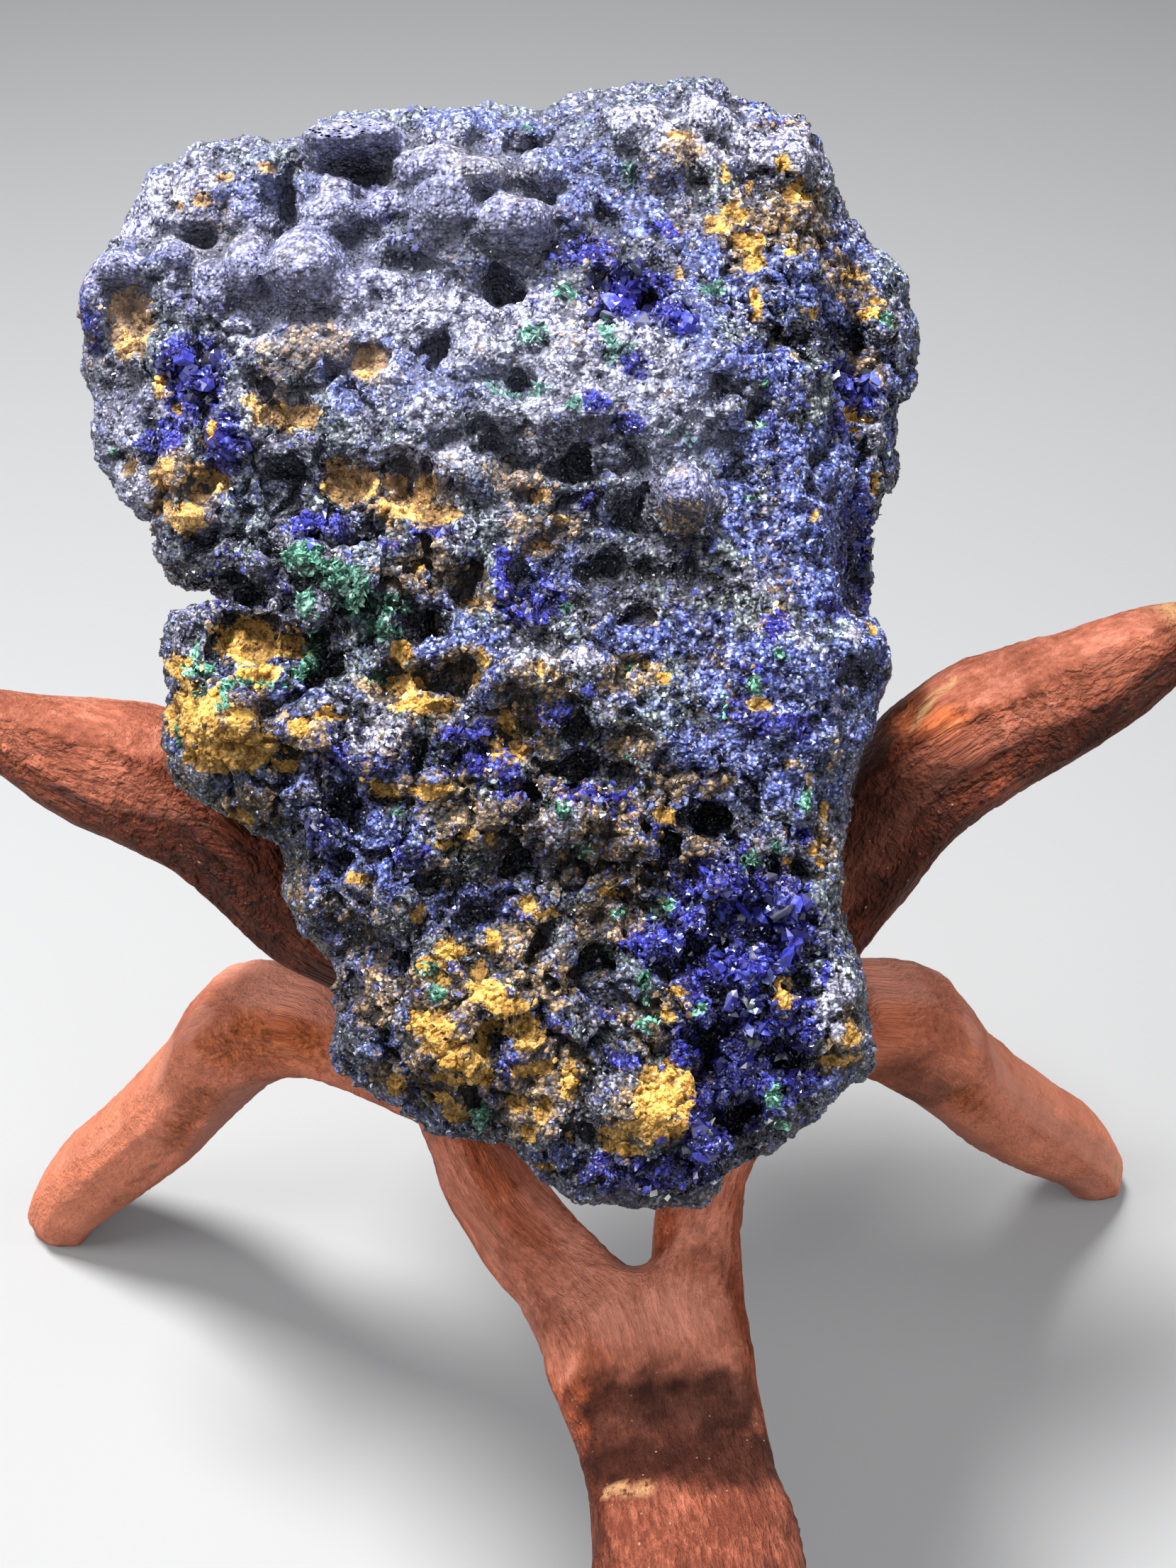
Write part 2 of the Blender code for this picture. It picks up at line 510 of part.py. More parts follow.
def crystal_into(bm, place, along, length, radius, roll):
    """One bladed crystal with a chisel tip, rooted below the surface."""
    frame = along.to_track_quat("Z", "Y").to_matrix() @ Matrix.Rotation(roll, 3, "Z")
    rings = []
    for height, wide, thick in ((-1.1, 1.0, 1.0), (0.45, 0.95, 0.95), (1.0, 0.72, 0.1)):
        ring = []
        for k in range(CRYSTAL_SIDES):
            angle = 2 * math.pi * (k + 0.5) / CRYSTAL_SIDES
            flat = Vector((wide * math.cos(angle), 0.6 * thick * math.sin(angle), 0.0)) * radius
            ring.append(bm.verts.new(place + frame @ (flat + Vector((0, 0, height * length)))))
        rings.append(ring)
    for low, high in zip(rings, rings[1:]):
        for k in range(CRYSTAL_SIDES):
            n = (k + 1) % CRYSTAL_SIDES
            bm.faces.new((low[k], low[n], high[n], high[k]))
    bm.faces.new(list(reversed(rings[0])))
    bm.faces.new(rings[-1])


def crystals_on(obj):
    """The crystals of every bed, as one helper to fuse with the ore."""
    rng = random.Random(SEED)
    mesh = obj.data
    points, normals = points_of(mesh), normals_of(mesh)
    bm = bmesh.new()
    for cu, cv, reach, count in CRYSTAL_BEDS:
        near = np.flatnonzero(
            ((points[:, 0] - cu) ** 2 + (points[:, 1] - cv) ** 2 < reach**2) & (normals[:, 2] > 0.05)
        )
        for index in rng.sample(list(near), min(count, len(near))):
            lean = Vector([rng.uniform(-0.55, 0.55) for _ in range(3)])
            along = (Vector(normals[index]) + lean).normalized()
            length, radius = rng.uniform(2.2, 3.8), rng.uniform(1.1, 2.0)
            crystal_into(bm, Vector(points[index]), along, length, radius, rng.uniform(0, math.pi))
    return as_helper(new_object("crystals", mesh_from(bm, "crystals")))


def fuse(obj, other):
    boolean = obj.modifiers.new("Fuse", "BOOLEAN")
    boolean.operation = "UNION"
    boolean.object = other
    boolean.use_self = True
    settle(obj)
    bpy.data.objects.remove(other)


def drop_crumbs(obj):
    """Keeps the main body alone: a cut can leave a crumb beside it."""
    bm = bmesh.new()
    bm.from_mesh(obj.data)
    left = set(bm.verts)
    bodies = []
    while left:
        body = set()
        edge = {left.pop()}
        while edge:
            body |= edge
            edge = {e.other_vert(v) for v in edge for e in v.link_edges} - body
        left -= body
        bodies.append(body)
    main = max(bodies, key=len)
    bmesh.ops.delete(bm, geom=[v for v in bm.verts if v not in main], context="VERTS")
    bm.to_mesh(obj.data)
    bm.free()


def rock_frame():
    """Takes the ore's own u, v, w in millimetres to where it lies in the stand, in metres."""
    lean = Matrix.Rotation(math.radians(ROCK_LEAN_DEG), 4, "X")
    return Matrix.Translation(Vector(ROCK_CENTRE) * MM) @ lean @ Matrix.Scale(MM, 4)


def specimen(name, finish):
    obj = pillow(name)
    work_surface(obj)
    thin_out(obj, ROCK_TRIANGLES)
    fuse(obj, crystals_on(obj))
    obj.data.transform(rock_frame())
    obj.data.materials.clear()
    obj.data.materials.append(finish)
    return obj


def centre_on_origin(objects):
    """Moves everything sideways so that the whole stands centred over the origin."""
    corners = np.vstack([points_of(o.data) for o in objects])
    middle = (corners.min(0) + corners.max(0)) / 2
    for obj in objects:
        obj.data.transform(Matrix.Translation((-middle[0], -middle[1], 0.0)))
    print("centred by", [round(-c / MM, 3) for c in middle[:2]])


def build():
    clear_scene()
    wood = material("stained_wood", (0.32, 0.085, 0.04), 0.55)
    ore = material("azurite_ore", (0.05, 0.06, 0.22), 0.5)
    left = crossing_member("stand_left_member", LEFT_MEMBER, LEFT_SIDE, wood)
    right = crossing_member("stand_right_member", RIGHT_MEMBER, RIGHT_SIDE, wood)
    front = front_member("stand_front_member", wood)
    cut_by(right, [grown(left, MEMBER_GAP)])
    cut_by(front, [grown(left, MEMBER_GAP), grown(right, MEMBER_GAP)])
    rock = specimen("azurite_malachite_specimen", ore)
    cut_by(rock, [grown(member, REST_GAP) for member in (left, right, front)])
    drop_crumbs(rock)
    everything = [rock, left, right, front]
    centre_on_origin(everything)
    for obj in (left, right, front):
        shade(obj)
    shade(rock, 25.0)


build()
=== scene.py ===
"""The looks of an azurite and malachite specimen that leans in a carved wooden stand.

The ore is built again as a fine mesh from the outline, lumps and hollows of its solid, and is then covered
with crystals, sugar-like druse, crumbs and crusts. The stand's members are remeshed and tooled.
The ore is worked in its own millimetres, u to the right across the face, v up it and w straight out of it.
"""

import math

import bmesh
import bpy
import numpy as np
from mathutils import Matrix, Vector, noise
from mathutils.bvhtree import BVHTree


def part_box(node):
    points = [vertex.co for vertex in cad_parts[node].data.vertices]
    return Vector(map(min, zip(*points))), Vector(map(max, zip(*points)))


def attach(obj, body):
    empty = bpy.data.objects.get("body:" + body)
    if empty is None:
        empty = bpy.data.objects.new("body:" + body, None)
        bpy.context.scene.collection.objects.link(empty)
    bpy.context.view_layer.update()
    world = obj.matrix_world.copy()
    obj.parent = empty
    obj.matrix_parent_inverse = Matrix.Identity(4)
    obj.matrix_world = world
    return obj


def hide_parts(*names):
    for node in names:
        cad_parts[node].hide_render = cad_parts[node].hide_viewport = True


MM = 0.001
ORE = "azurite_malachite_specimen"
MEMBERS = ("stand_left_member", "stand_right_member", "stand_front_member")

# The ore block, as in its solid
ROCK_CENTRE = (1.087, 23.082, 164.1)
ROCK_LEAN_DEG = 45.0
FRONT_BULGE = 11.0
BACK_BULGE = 30.0
HEEL = 7.0
SIDE_STEP = 12.0
SIDE_EDGE = (24.0, 12.0)
CORNER = 62.0
CORNER_SLOPE = 0.18
COARSE_MM = 15.0
MIDDLE_MM = 6.0
SPINE = (-6.0, 16.0)
PILLOW_RINGS = 12
PILLOW_POWER = 3.4
RIM = 0.7
HOLLOW_SHARE = 0.7

# How finely it is worked here
BLOCK_VOXEL = 0.8
FINE_VOXEL = 0.54
ORE_TRIANGLES = 196000
REST_GAP = 0.3
TOP_MARGIN = 0.05
FLANK_DEPTH = 24.0      # the show face ends this far behind the outline's plane
FLANK_BLEND = 8.0
SEED = 23

# How large its chunks, crystal faces, knobs and beads are
CHUNK = 6.5
FACE = 2.8
KNOB = 2.0
BEAD = 1.15
SUGAR = 0.8

# Loose grains on it: how many, and the smallest and the largest half width
DRUSE_FACE = (24500, 0.18, 0.40)
DRUSE_VIVID = (14000, 0.2, 0.5)
DRUSE_BACK = (9000, 0.3, 0.65)
CRUMBS = (7500, 0.16, 0.55)
TUFT_COUNT = 2600

# The stand's meshes, and the carver's flat cuts around each limb
WOOD_VOXEL = 0.83
WOOD_SOFTENING = 9
FACET_COUNT = 7
DEEPEST_CUT = 1.6

# The camera stands where the photograph was taken from
PHOTO_HEIGHT_PIXELS = 2212
FOCAL_PIXELS = 2433
SENSOR_MM = 36.0
CAMERA_PLACE = (0.001087, -0.118318, 0.3055)
CAMERA_TILT_DEG = 45.0

# The room, in metres: each light's place, the width of its disc, and its power in watts
FLOOR_REACH = 6.0
FLOOR_GREY = 0.28
AIR_COLOUR = (0.85, 0.9, 1.0, 1)
AIR_STRENGTH = 0.33
LIGHTS_AIM = (0.0, 0.02, 0.14)
LIGHTS = {
    "key": ((-0.17, 0.12, 0.85), 0.18, 15.0),
    "left": ((-0.7, -0.12, 0.5), 0.4, 5.0),
    "right": ((0.7, -0.12, 0.5), 0.4, 3.0),
    "fill": ((0.1, -0.65, 0.75), 0.8, 2.6),
}

OUTLINE = [
    (14, 83), (19, 81.5), (26.5, 79), (30.5, 75.5), (32, 72), (35.5, 68), (40, 62.5), (41, 57.5),
    (40.5, 50.5), (38, 45.5), (38.5, 40), (37, 36), (35.5, 30), (34.5, 20), (34.5, 15.5), (33, 11),
    (32, 5.5), (30.5, 0), (29.5, -9), (30.5, -17.5), (33, -24.5), (33, -32), (30.5, -34.5), (26.5, -38.5),
    (24, -40), (21, -43), (17.5, -43.5), (13, -48), (7, -48), (-1, -48.5), (-4.5, -46.5), (-7, -43.5),
    (-12, -41.5), (-17.5, -41), (-21, -39), (-24.5, -36), (-29, -33), (-30.5, -26.5), (-30, -21.5),
    (-32.5, -19), (-35.5, -13), (-36.5, -8), (-41, -5.5), (-47, -1), (-48.5, 4), (-48.5, 11), (-49.5, 15.5),
    (-48.5, 20), (-41.5, 21), (-42, 22.5), (-50.5, 24), (-50.5, 28), (-54.5, 34.5), (-57, 39),
    (-56.5, 44.5), (-58, 50), (-58.5, 55.5), (-56.5, 60), (-53, 64.5), (-50, 69), (-45.5, 73), (-39, 74.5),
    (-33, 74), (-32, 75.5), (-27, 76), (-22.5, 77), (-20, 78.5), (-13.5, 79), (-6.5, 78.5), (-2.5, 79.5),
    (4, 81), (8, 81), (10.5, 82),
]
# Broad swells and dips of the face: u, v, half width, half height, how far they rise
SWELLS = [
    (6, 46, 17, 11, 3), (0, 25, 13, 9, -3), (-39, 7, 11, 10, 2.5), (19, 9, 13, 14, 2.5),
    (-4, -12, 17, 10, -3), (-14, -28, 12, 10, 3), (7, -36, 9, 8, 2.5), (-33, 61, 13, 7, -2.5),
    (-14, 64, 9, 8, 1.5), (-27, 72, 9, 4, 1.5), (12, 72, 12, 8, 1.5), (-30, 32, 12, 6, -1.5),
    (-26, -20, 8, 10, -2),
]
# Rounded lumps on the face: u, v, half width, half height, how far they stand out
LUMPS = [
    (-37.6, 57.5, 2.9, 4.4, 3.4), (-31, 57, 4.6, 4.6, 4.4), (-28, 53.8, 4.4, 2.3, 2.2),
    (-41.7, 56.5, 2.3, 2, 1.9), (-46.5, 58.8, 3.2, 2.2, 2.2), (-45.8, 54.3, 2.3, 2.3, 1.8),
    (-42, 53.8, 2.4, 2, 1.7), (-28.5, 62.8, 3.9, 2.4, 2.8), (-29, 66, 4.4, 1.6, 1.6),
    (-29.4, 70.4, 2.9, 1.9, 2.8), (-26.2, 71.2, 3, 2, 3), (-23, 72, 2.8, 1.8, 2.6),
    (-42, 67.5, 3, 2.6, 2.2), (-37, 69, 3, 2.2, 1.8), (-45, 64, 2.6, 2.2, 1.8), (-38, 63, 2.6, 1.9, 1.6),
    (-55.3, 53, 1.8, 5, 2.6), (-52, 57.3, 3.6, 2.2, 2.8), (-51, 46.6, 3.2, 1.6, 2),
    (-30, 48.4, 6.4, 2.4, 2.2), (-36, 47.2, 3.2, 2.2, 1.8), (-25.2, 49.5, 3, 2, 1.5),
    (-22.4, 45, 2.6, 3.8, 1), (-22.5, 55.5, 4, 2.2, 1.2), (-15.5, 73.5, 3.6, 2, 2.4),
    (-6.5, 73.4, 3.4, 2, 2.2), (4, 74.6, 3.6, 2.4, 2.6), (-17, 68.6, 4.2, 2.9, 3.6),
    (-12.5, 66.8, 4.2, 2.5, 3.4), (-16, 63, 4.2, 4, 3.4), (-8, 61.6, 4.3, 3.2, 3.8),
    (-13.2, 58.4, 3.2, 2.6, 2), (-22.2, 63.4, 2.6, 2.6, 1.8), (-21.5, 59.5, 2.4, 1.8, 1.6),
    (-5.5, 67.5, 2.4, 2.4, 2.6), (-2.3, 62.4, 1.8, 1.6, 1.8), (1.5, 58.6, 2.8, 2.2, 1.4),
    (14, 76.2, 4, 2.8, 3.4), (22.5, 72.2, 3.6, 2.6, 1.8), (17, 68, 2, 3.4, 1.4), (20, 64, 2.6, 2.8, 1.6),
    (26, 66, 3.2, 2.8, 1.8), (30.6, 62, 3.4, 3.2, 2.2), (34.6, 56.6, 2.8, 2.6, 2.6),
    (8.5, 70.2, 2.4, 2.8, 1.4), (-44, 29.3, 2.8, 2.2, 2.8), (-46.8, 34.2, 2.8, 2.6, 1.8),
    (-42.8, 34.6, 1.7, 1.6, 1.6), (-50.5, 38.4, 2.8, 2.4, 2), (-48.2, 42, 2, 2.8, 1.4),
    (-44.2, 46.4, 2.4, 4.2, 2.2), (-39.5, 37.6, 2.3, 3.2, 1.8), (-31.5, 28.6, 1.9, 1.6, 1.8),
    (-28, 28.8, 1.9, 1.4, 1.6), (-30.6, 24.2, 3.4, 2.3, 4.2), (-25, 22.4, 3, 2.4, 4),
    (-30.5, 19.2, 2.5, 2.2, 3), (-22.4, 17.8, 2.5, 2.3, 2.4), (-20.4, 22, 3.4, 1.2, 1.8),
    (-35.5, 19.6, 1.9, 1.6, 1.8), (-37, 24.2, 2.8, 2.2, 1.8), (-13, 47, 3.6, 3.5, 2.2),
    (-7.5, 49.3, 2.9, 1.8, 1.5), (2, 47.4, 1.9, 3.4, 1.8), (-2.6, 47.6, 2.8, 3.6, 1.2),
    (-8.5, 40.6, 4.4, 2, 2.4), (-1, 40, 4.8, 2.2, 2.4), (-17, 40.6, 3.6, 3.5, 2.4), (3.2, 32, 2.3, 2.3, 3),
    (10.4, 31.2, 3.9, 4.4, 3.8), (-13, 34.4, 2.9, 3.6, 2.2), (-20, 36.6, 4, 2, 1.6),
    (-6.5, 29, 4.6, 1.7, 1.8), (-14.2, 26.4, 3.5, 2.8, 2.2), (-20, 26.9, 3.2, 1.6, 1.8),
    (-9.5, 23.2, 1.7, 3.8, 2.2), (-6.6, 18.9, 3.4, 1.4, 1.8), (-1, 22.4, 3.7, 1.9, 1.8),
    (4.2, 20.6, 3.8, 1.8, 1.6), (6.2, 26.4, 3.6, 2.6, 1.6), (0, 17.6, 3.6, 2, 1.6),
    (12.2, 19, 3.8, 2.6, 1.6), (17.4, 22.2, 3.2, 3.2, 1.4), (20.4, 17, 3.2, 2.6, 1.4),
    (-6.2, 12, 4.4, 3.6, 4.2), (-0.4, 12.3, 3.9, 3, 3.4), (-4, 7.2, 2.8, 2.1, 2.4), (2.6, 8, 3.3, 2.4, 3.4),
    (7.6, 11.2, 3.2, 2.4, 1.8), (7.2, 7.4, 2.4, 2.2, 1.8), (-11.4, 10.2, 1.5, 2.3, 1.8),
    (-22, 5, 4.5, 4.6, 3.4), (-16.6, 13.3, 1.3, 1.8, 2.4), (-18, 8.6, 4.2, 1.6, 1.5), (-40, 7, 6, 3.8, 2.4),
    (-42, 2.4, 4.2, 2.6, 2), (-34.6, 5.2, 3.9, 3.1, 2), (-31.4, 6, 1.7, 1.5, 2.2),
    (-28.4, 3.7, 2.8, 2.5, 2.6), (-44.6, 14.4, 1.9, 3.9, 2.4), (-36.6, 10.8, 5, 1.1, 1.6),
    (-29.8, -6, 2.1, 2.5, 2.6), (-33.2, -1.4, 2.3, 2.2, 1.8), (-30.2, -1, 1.8, 1.6, 1.8),
    (-38, -3, 3.8, 2.4, 1.8), (-25.5, -10.6, 2.6, 2.2, 2), (-31.4, -12.2, 2.2, 3.2, 1.6),
    (-21.5, -6.2, 3.1, 2.4, 2.2), (-15, -9, 2.6, 2, 1.8), (-19.5, -12.4, 2.6, 2.2, 1.8),
    (-24.5, -15.6, 3.1, 2.8, 1.8), (-13.6, -12.6, 2.8, 2.1, 1.7), (-17.6, -0.6, 3.2, 1.6, 1.7),
    (-12.5, -5, 3.3, 2.2, 2.2), (-10, -2.5, 2.4, 1.9, 1.6), (-16, -6, 2.2, 1.8, 1.6),
    (-5.8, -5.6, 3.1, 3.1, 2.8), (-1.6, -5, 3.5, 3.6, 4.2), (3.4, -4.2, 2.2, 2, 1.9),
    (4.5, -7.8, 2.4, 2.1, 2.2), (2, -11, 2.4, 2, 1.9), (5.3, -11.6, 2, 2.4, 1.9), (-4, -12, 2.7, 2.2, 1.8),
    (-5.6, -14.5, 2.2, 1.6, 1.6), (9.2, 4, 3.1, 2.3, 1.7), (12.2, 1.8, 3.2, 1.7, 1.8),
    (12, -7.7, 2.2, 2.5, 2.4), (19, 7, 4.8, 2.5, 1.6), (22, -0.5, 3.8, 3.2, 1.4),
    (19.5, -7.5, 4.2, 2.4, 2.4), (26.2, -7.5, 1.9, 2.7, 1.8), (24, 13.6, 3.2, 4, 1.6),
    (29.6, 15.6, 3.4, 3.4, 4.2), (18.5, 12.4, 3.2, 2.7, 1.4), (13.2, -11.2, 2.7, 2.8, 3.6),
    (17.6, -12.4, 3.8, 1.6, 3.6), (22.6, -12.9, 1.6, 2.7, 3), (9.4, -9, 1.7, 2.2, 2.2),
    (8.6, -16.4, 2.4, 1.8, 2.6), (4.5, -17, 2.1, 1.7, 2), (8, -19.4, 2.7, 1.6, 2.2),
    (12.4, -22, 1.8, 1.9, 2.2), (15.8, -20.7, 2.4, 2.3, 2.6), (19.6, -20, 3.2, 1.6, 2.4),
    (12, -24.6, 2.3, 1.8, 2.4), (17.4, -23.8, 2.4, 2.1, 2.8), (21.3, -23.1, 1.8, 2.7, 2.8),
    (24, -24, 1.6, 1.8, 1.8), (18.4, -27.2, 1.9, 1.8, 2.2), (23.8, -28.6, 2.1, 1.8, 2.2),
    (16.2, -32.5, 1.9, 2.2, 2.4), (20.3, -34.4, 2.3, 2, 2.6), (21, -37.4, 1.7, 1.4, 1.8),
    (23.6, -33.4, 2.2, 1.6, 1.8), (22.5, -17.8, 2.1, 2.4, 2.8), (27.8, -25, 3.7, 7.4, 2.4),
    (27, -16, 2.5, 3.4, 1.8), (29.4, -29.2, 2.3, 2.9, 2), (-8.6, -18, 2.7, 2.4, 2.2),
    (-5.4, -21.3, 2, 2.4, 2.6), (-2.5, -22.5, 1.9, 2.4, 2.6), (6, -27.8, 2.3, 2.5, 3),
    (9.5, -24, 2, 2.6, 2), (-3, -27, 2.6, 1.6, 2), (2, -26.6, 2.6, 2, 1.8), (6.5, -22, 1.9, 2, 1.8),
    (-15.5, -19.2, 3.3, 2, 2), (-10.6, -22.3, 3.4, 2.8, 3), (-7.6, -25, 3, 2, 3.2),
    (-16.5, -26, 3.7, 2.8, 2.8), (-14.6, -31, 4.3, 3.2, 3.4), (-14.6, -36.5, 3.1, 2.2, 2.4),
    (-21.4, -33.4, 2.1, 2.7, 2.4), (-6.5, -28.6, 2.5, 1.7, 2.4), (-6, -31.8, 3, 2, 2.2),
    (-2, -33, 1.8, 3, 2.6), (-5, -36, 2.2, 2.4, 2.2), (-6.5, -39.2, 2, 2.2, 2),
    (-4.5, -42.6, 2.8, 2.3, 2.2), (-11.5, -37, 2, 2, 2.2), (6, -36, 5.8, 5.8, 4.8),
    (10.6, -31, 2.3, 3.4, 3.4), (8, -42.6, 4.2, 2.6, 3), (2, -42.5, 3.4, 2.2, 2.4),
    (12.6, -38, 2.4, 4.8, 3.4), (-26, -28, 2.8, 4.8, 2.2), (-23.4, -22.6, 2.9, 2.8, 1.7),
    (33.6, 41.6, 2.6, 4.4, 2.4), (31.5, 48.4, 3.6, 2.8, 2), (32.6, 30, 1.8, 3, 2), (30, 32.6, 1.8, 2, 1.8),
]
# Hollows in the face: u, v, half width, half height, depth
HOLLOWS = [
    (-43.5, 60.8, 1.8, 1.2, 4), (-33.4, 65, 0.9, 2, 4.5), (-34, 61.6, 0.6, 1.4, 3),
    (-24.6, 68.2, 3.4, 0.8, 5.5), (-51.4, 51.2, 2.2, 3.4, 1.4), (-9.5, 54.6, 2.2, 1.4, 6),
    (-7, 70.7, 1.7, 0.8, 3), (-5.6, 65, 1.6, 0.4, 2.2), (1.8, 63.5, 0.8, 1.1, 4), (6.5, 54.2, 0.9, 0.5, 3),
    (-19.6, 58.2, 2.6, 0.6, 2.4), (12, 67.5, 0.6, 2, 2.6), (26.3, 62.5, 0.9, 0.9, 3),
    (30.2, 53.4, 2.6, 1, 4), (36, 51.6, 1.4, 1.4, 3.5), (-33.2, 41.9, 4.2, 2, 3.6), (-42, 42, 0.9, 0.6, 3),
    (-41, 33.2, 1.2, 1, 2.6), (-42.6, 31.6, 1.4, 0.5, 2), (-33.5, 33, 1.8, 3, 3.4),
    (-26.6, 33.6, 2.2, 2, 2.4), (-27.6, 26.7, 2.6, 0.5, 6.5), (-23.8, 27.6, 2.1, 1, 5),
    (-17.5, 47.5, 1.4, 1.3, 4), (-24, 46.6, 1.5, 1.2, 2.4), (-7, 44.6, 1.7, 0.9, 4.5),
    (-2.5, 35.5, 3.4, 1.2, 5), (-7.6, 36, 1.6, 1, 2.6), (-7, 31, 2.3, 0.5, 3), (-10.5, 37, 1.1, 1.8, 2.4),
    (-18.5, 31.8, 4.2, 1.6, 2.2), (-17.5, 24.4, 1.8, 1.6, 3.8), (-13, 22.2, 1.6, 2.4, 3.8),
    (-18.5, 18, 2.2, 1, 4), (-7, 21.7, 1.1, 1.2, 3), (2, 24.2, 2.6, 0.6, 3), (7.3, 23.3, 1.5, 0.8, 3),
    (4.6, 18.2, 2, 0.6, 2.6), (15, 43.3, 1.7, 0.8, 3.6), (18.2, 41.4, 1.6, 0.7, 3),
    (23.5, 50, 1.8, 1.3, 4.6), (24.7, 47, 0.7, 1.8, 3.6), (25.5, 37.5, 1.4, 0.6, 3),
    (24.5, 32.5, 1.1, 0.8, 2.8), (17.5, 35, 1.4, 0.5, 2.2), (22.5, 40.1, 1.6, 0.5, 2.2),
    (25.5, 24.4, 1.5, 0.5, 2.6), (10.5, 23, 1, 0.9, 2.6), (-38, 16.2, 4.2, 2.2, 5),
    (-29.4, 14.6, 2.2, 3.6, 6), (-15.4, 11.6, 2.4, 2.2, 5.5), (-21, 11.6, 2.2, 1.3, 3),
    (-1.4, 6.2, 0.9, 1.4, 2.6), (-18, 3.5, 0.8, 1, 3), (-2, 1.2, 3.6, 0.8, 5.5), (3, 0.8, 1.3, 0.5, 3),
    (-12.5, 3.8, 4.2, 2.4, 1.6), (-6.5, -1.6, 1.1, 2.2, 4.4), (6, -4.7, 1.5, 1.2, 5.5),
    (8, -6.6, 1.3, 0.8, 5), (13.4, -3.8, 2.6, 1.2, 6), (15, -7, 0.6, 1.6, 2.8), (-26.4, -3, 1.4, 2, 5),
    (-28, -8.4, 0.9, 1.2, 3), (-16.4, -10.8, 1.3, 1, 3.2), (-12, -15.2, 1.7, 0.8, 2.6),
    (-8.5, -9.2, 1, 1.5, 3.6), (0.6, -20.4, 1.8, 2.2, 5.5), (3, -23.3, 1.3, 0.8, 3),
    (13.4, -18, 2.2, 0.8, 4), (18.6, -14.8, 2.8, 0.6, 5), (23.8, -10.6, 0.9, 1.4, 3.6),
    (14.8, -29.4, 1.6, 3.6, 7), (16.6, -37, 2.2, 1.8, 5), (21.4, -30.9, 1.8, 1.2, 4.6),
    (18.6, -30, 1.4, 1.4, 3.6), (-9.8, -28.8, 0.8, 1.6, 4.4), (-7.9, -27, 2, 0.5, 3),
    (-12.6, -34.5, 0.6, 1.2, 3), (-40.5, 22, 5, 0.7, 5),
]
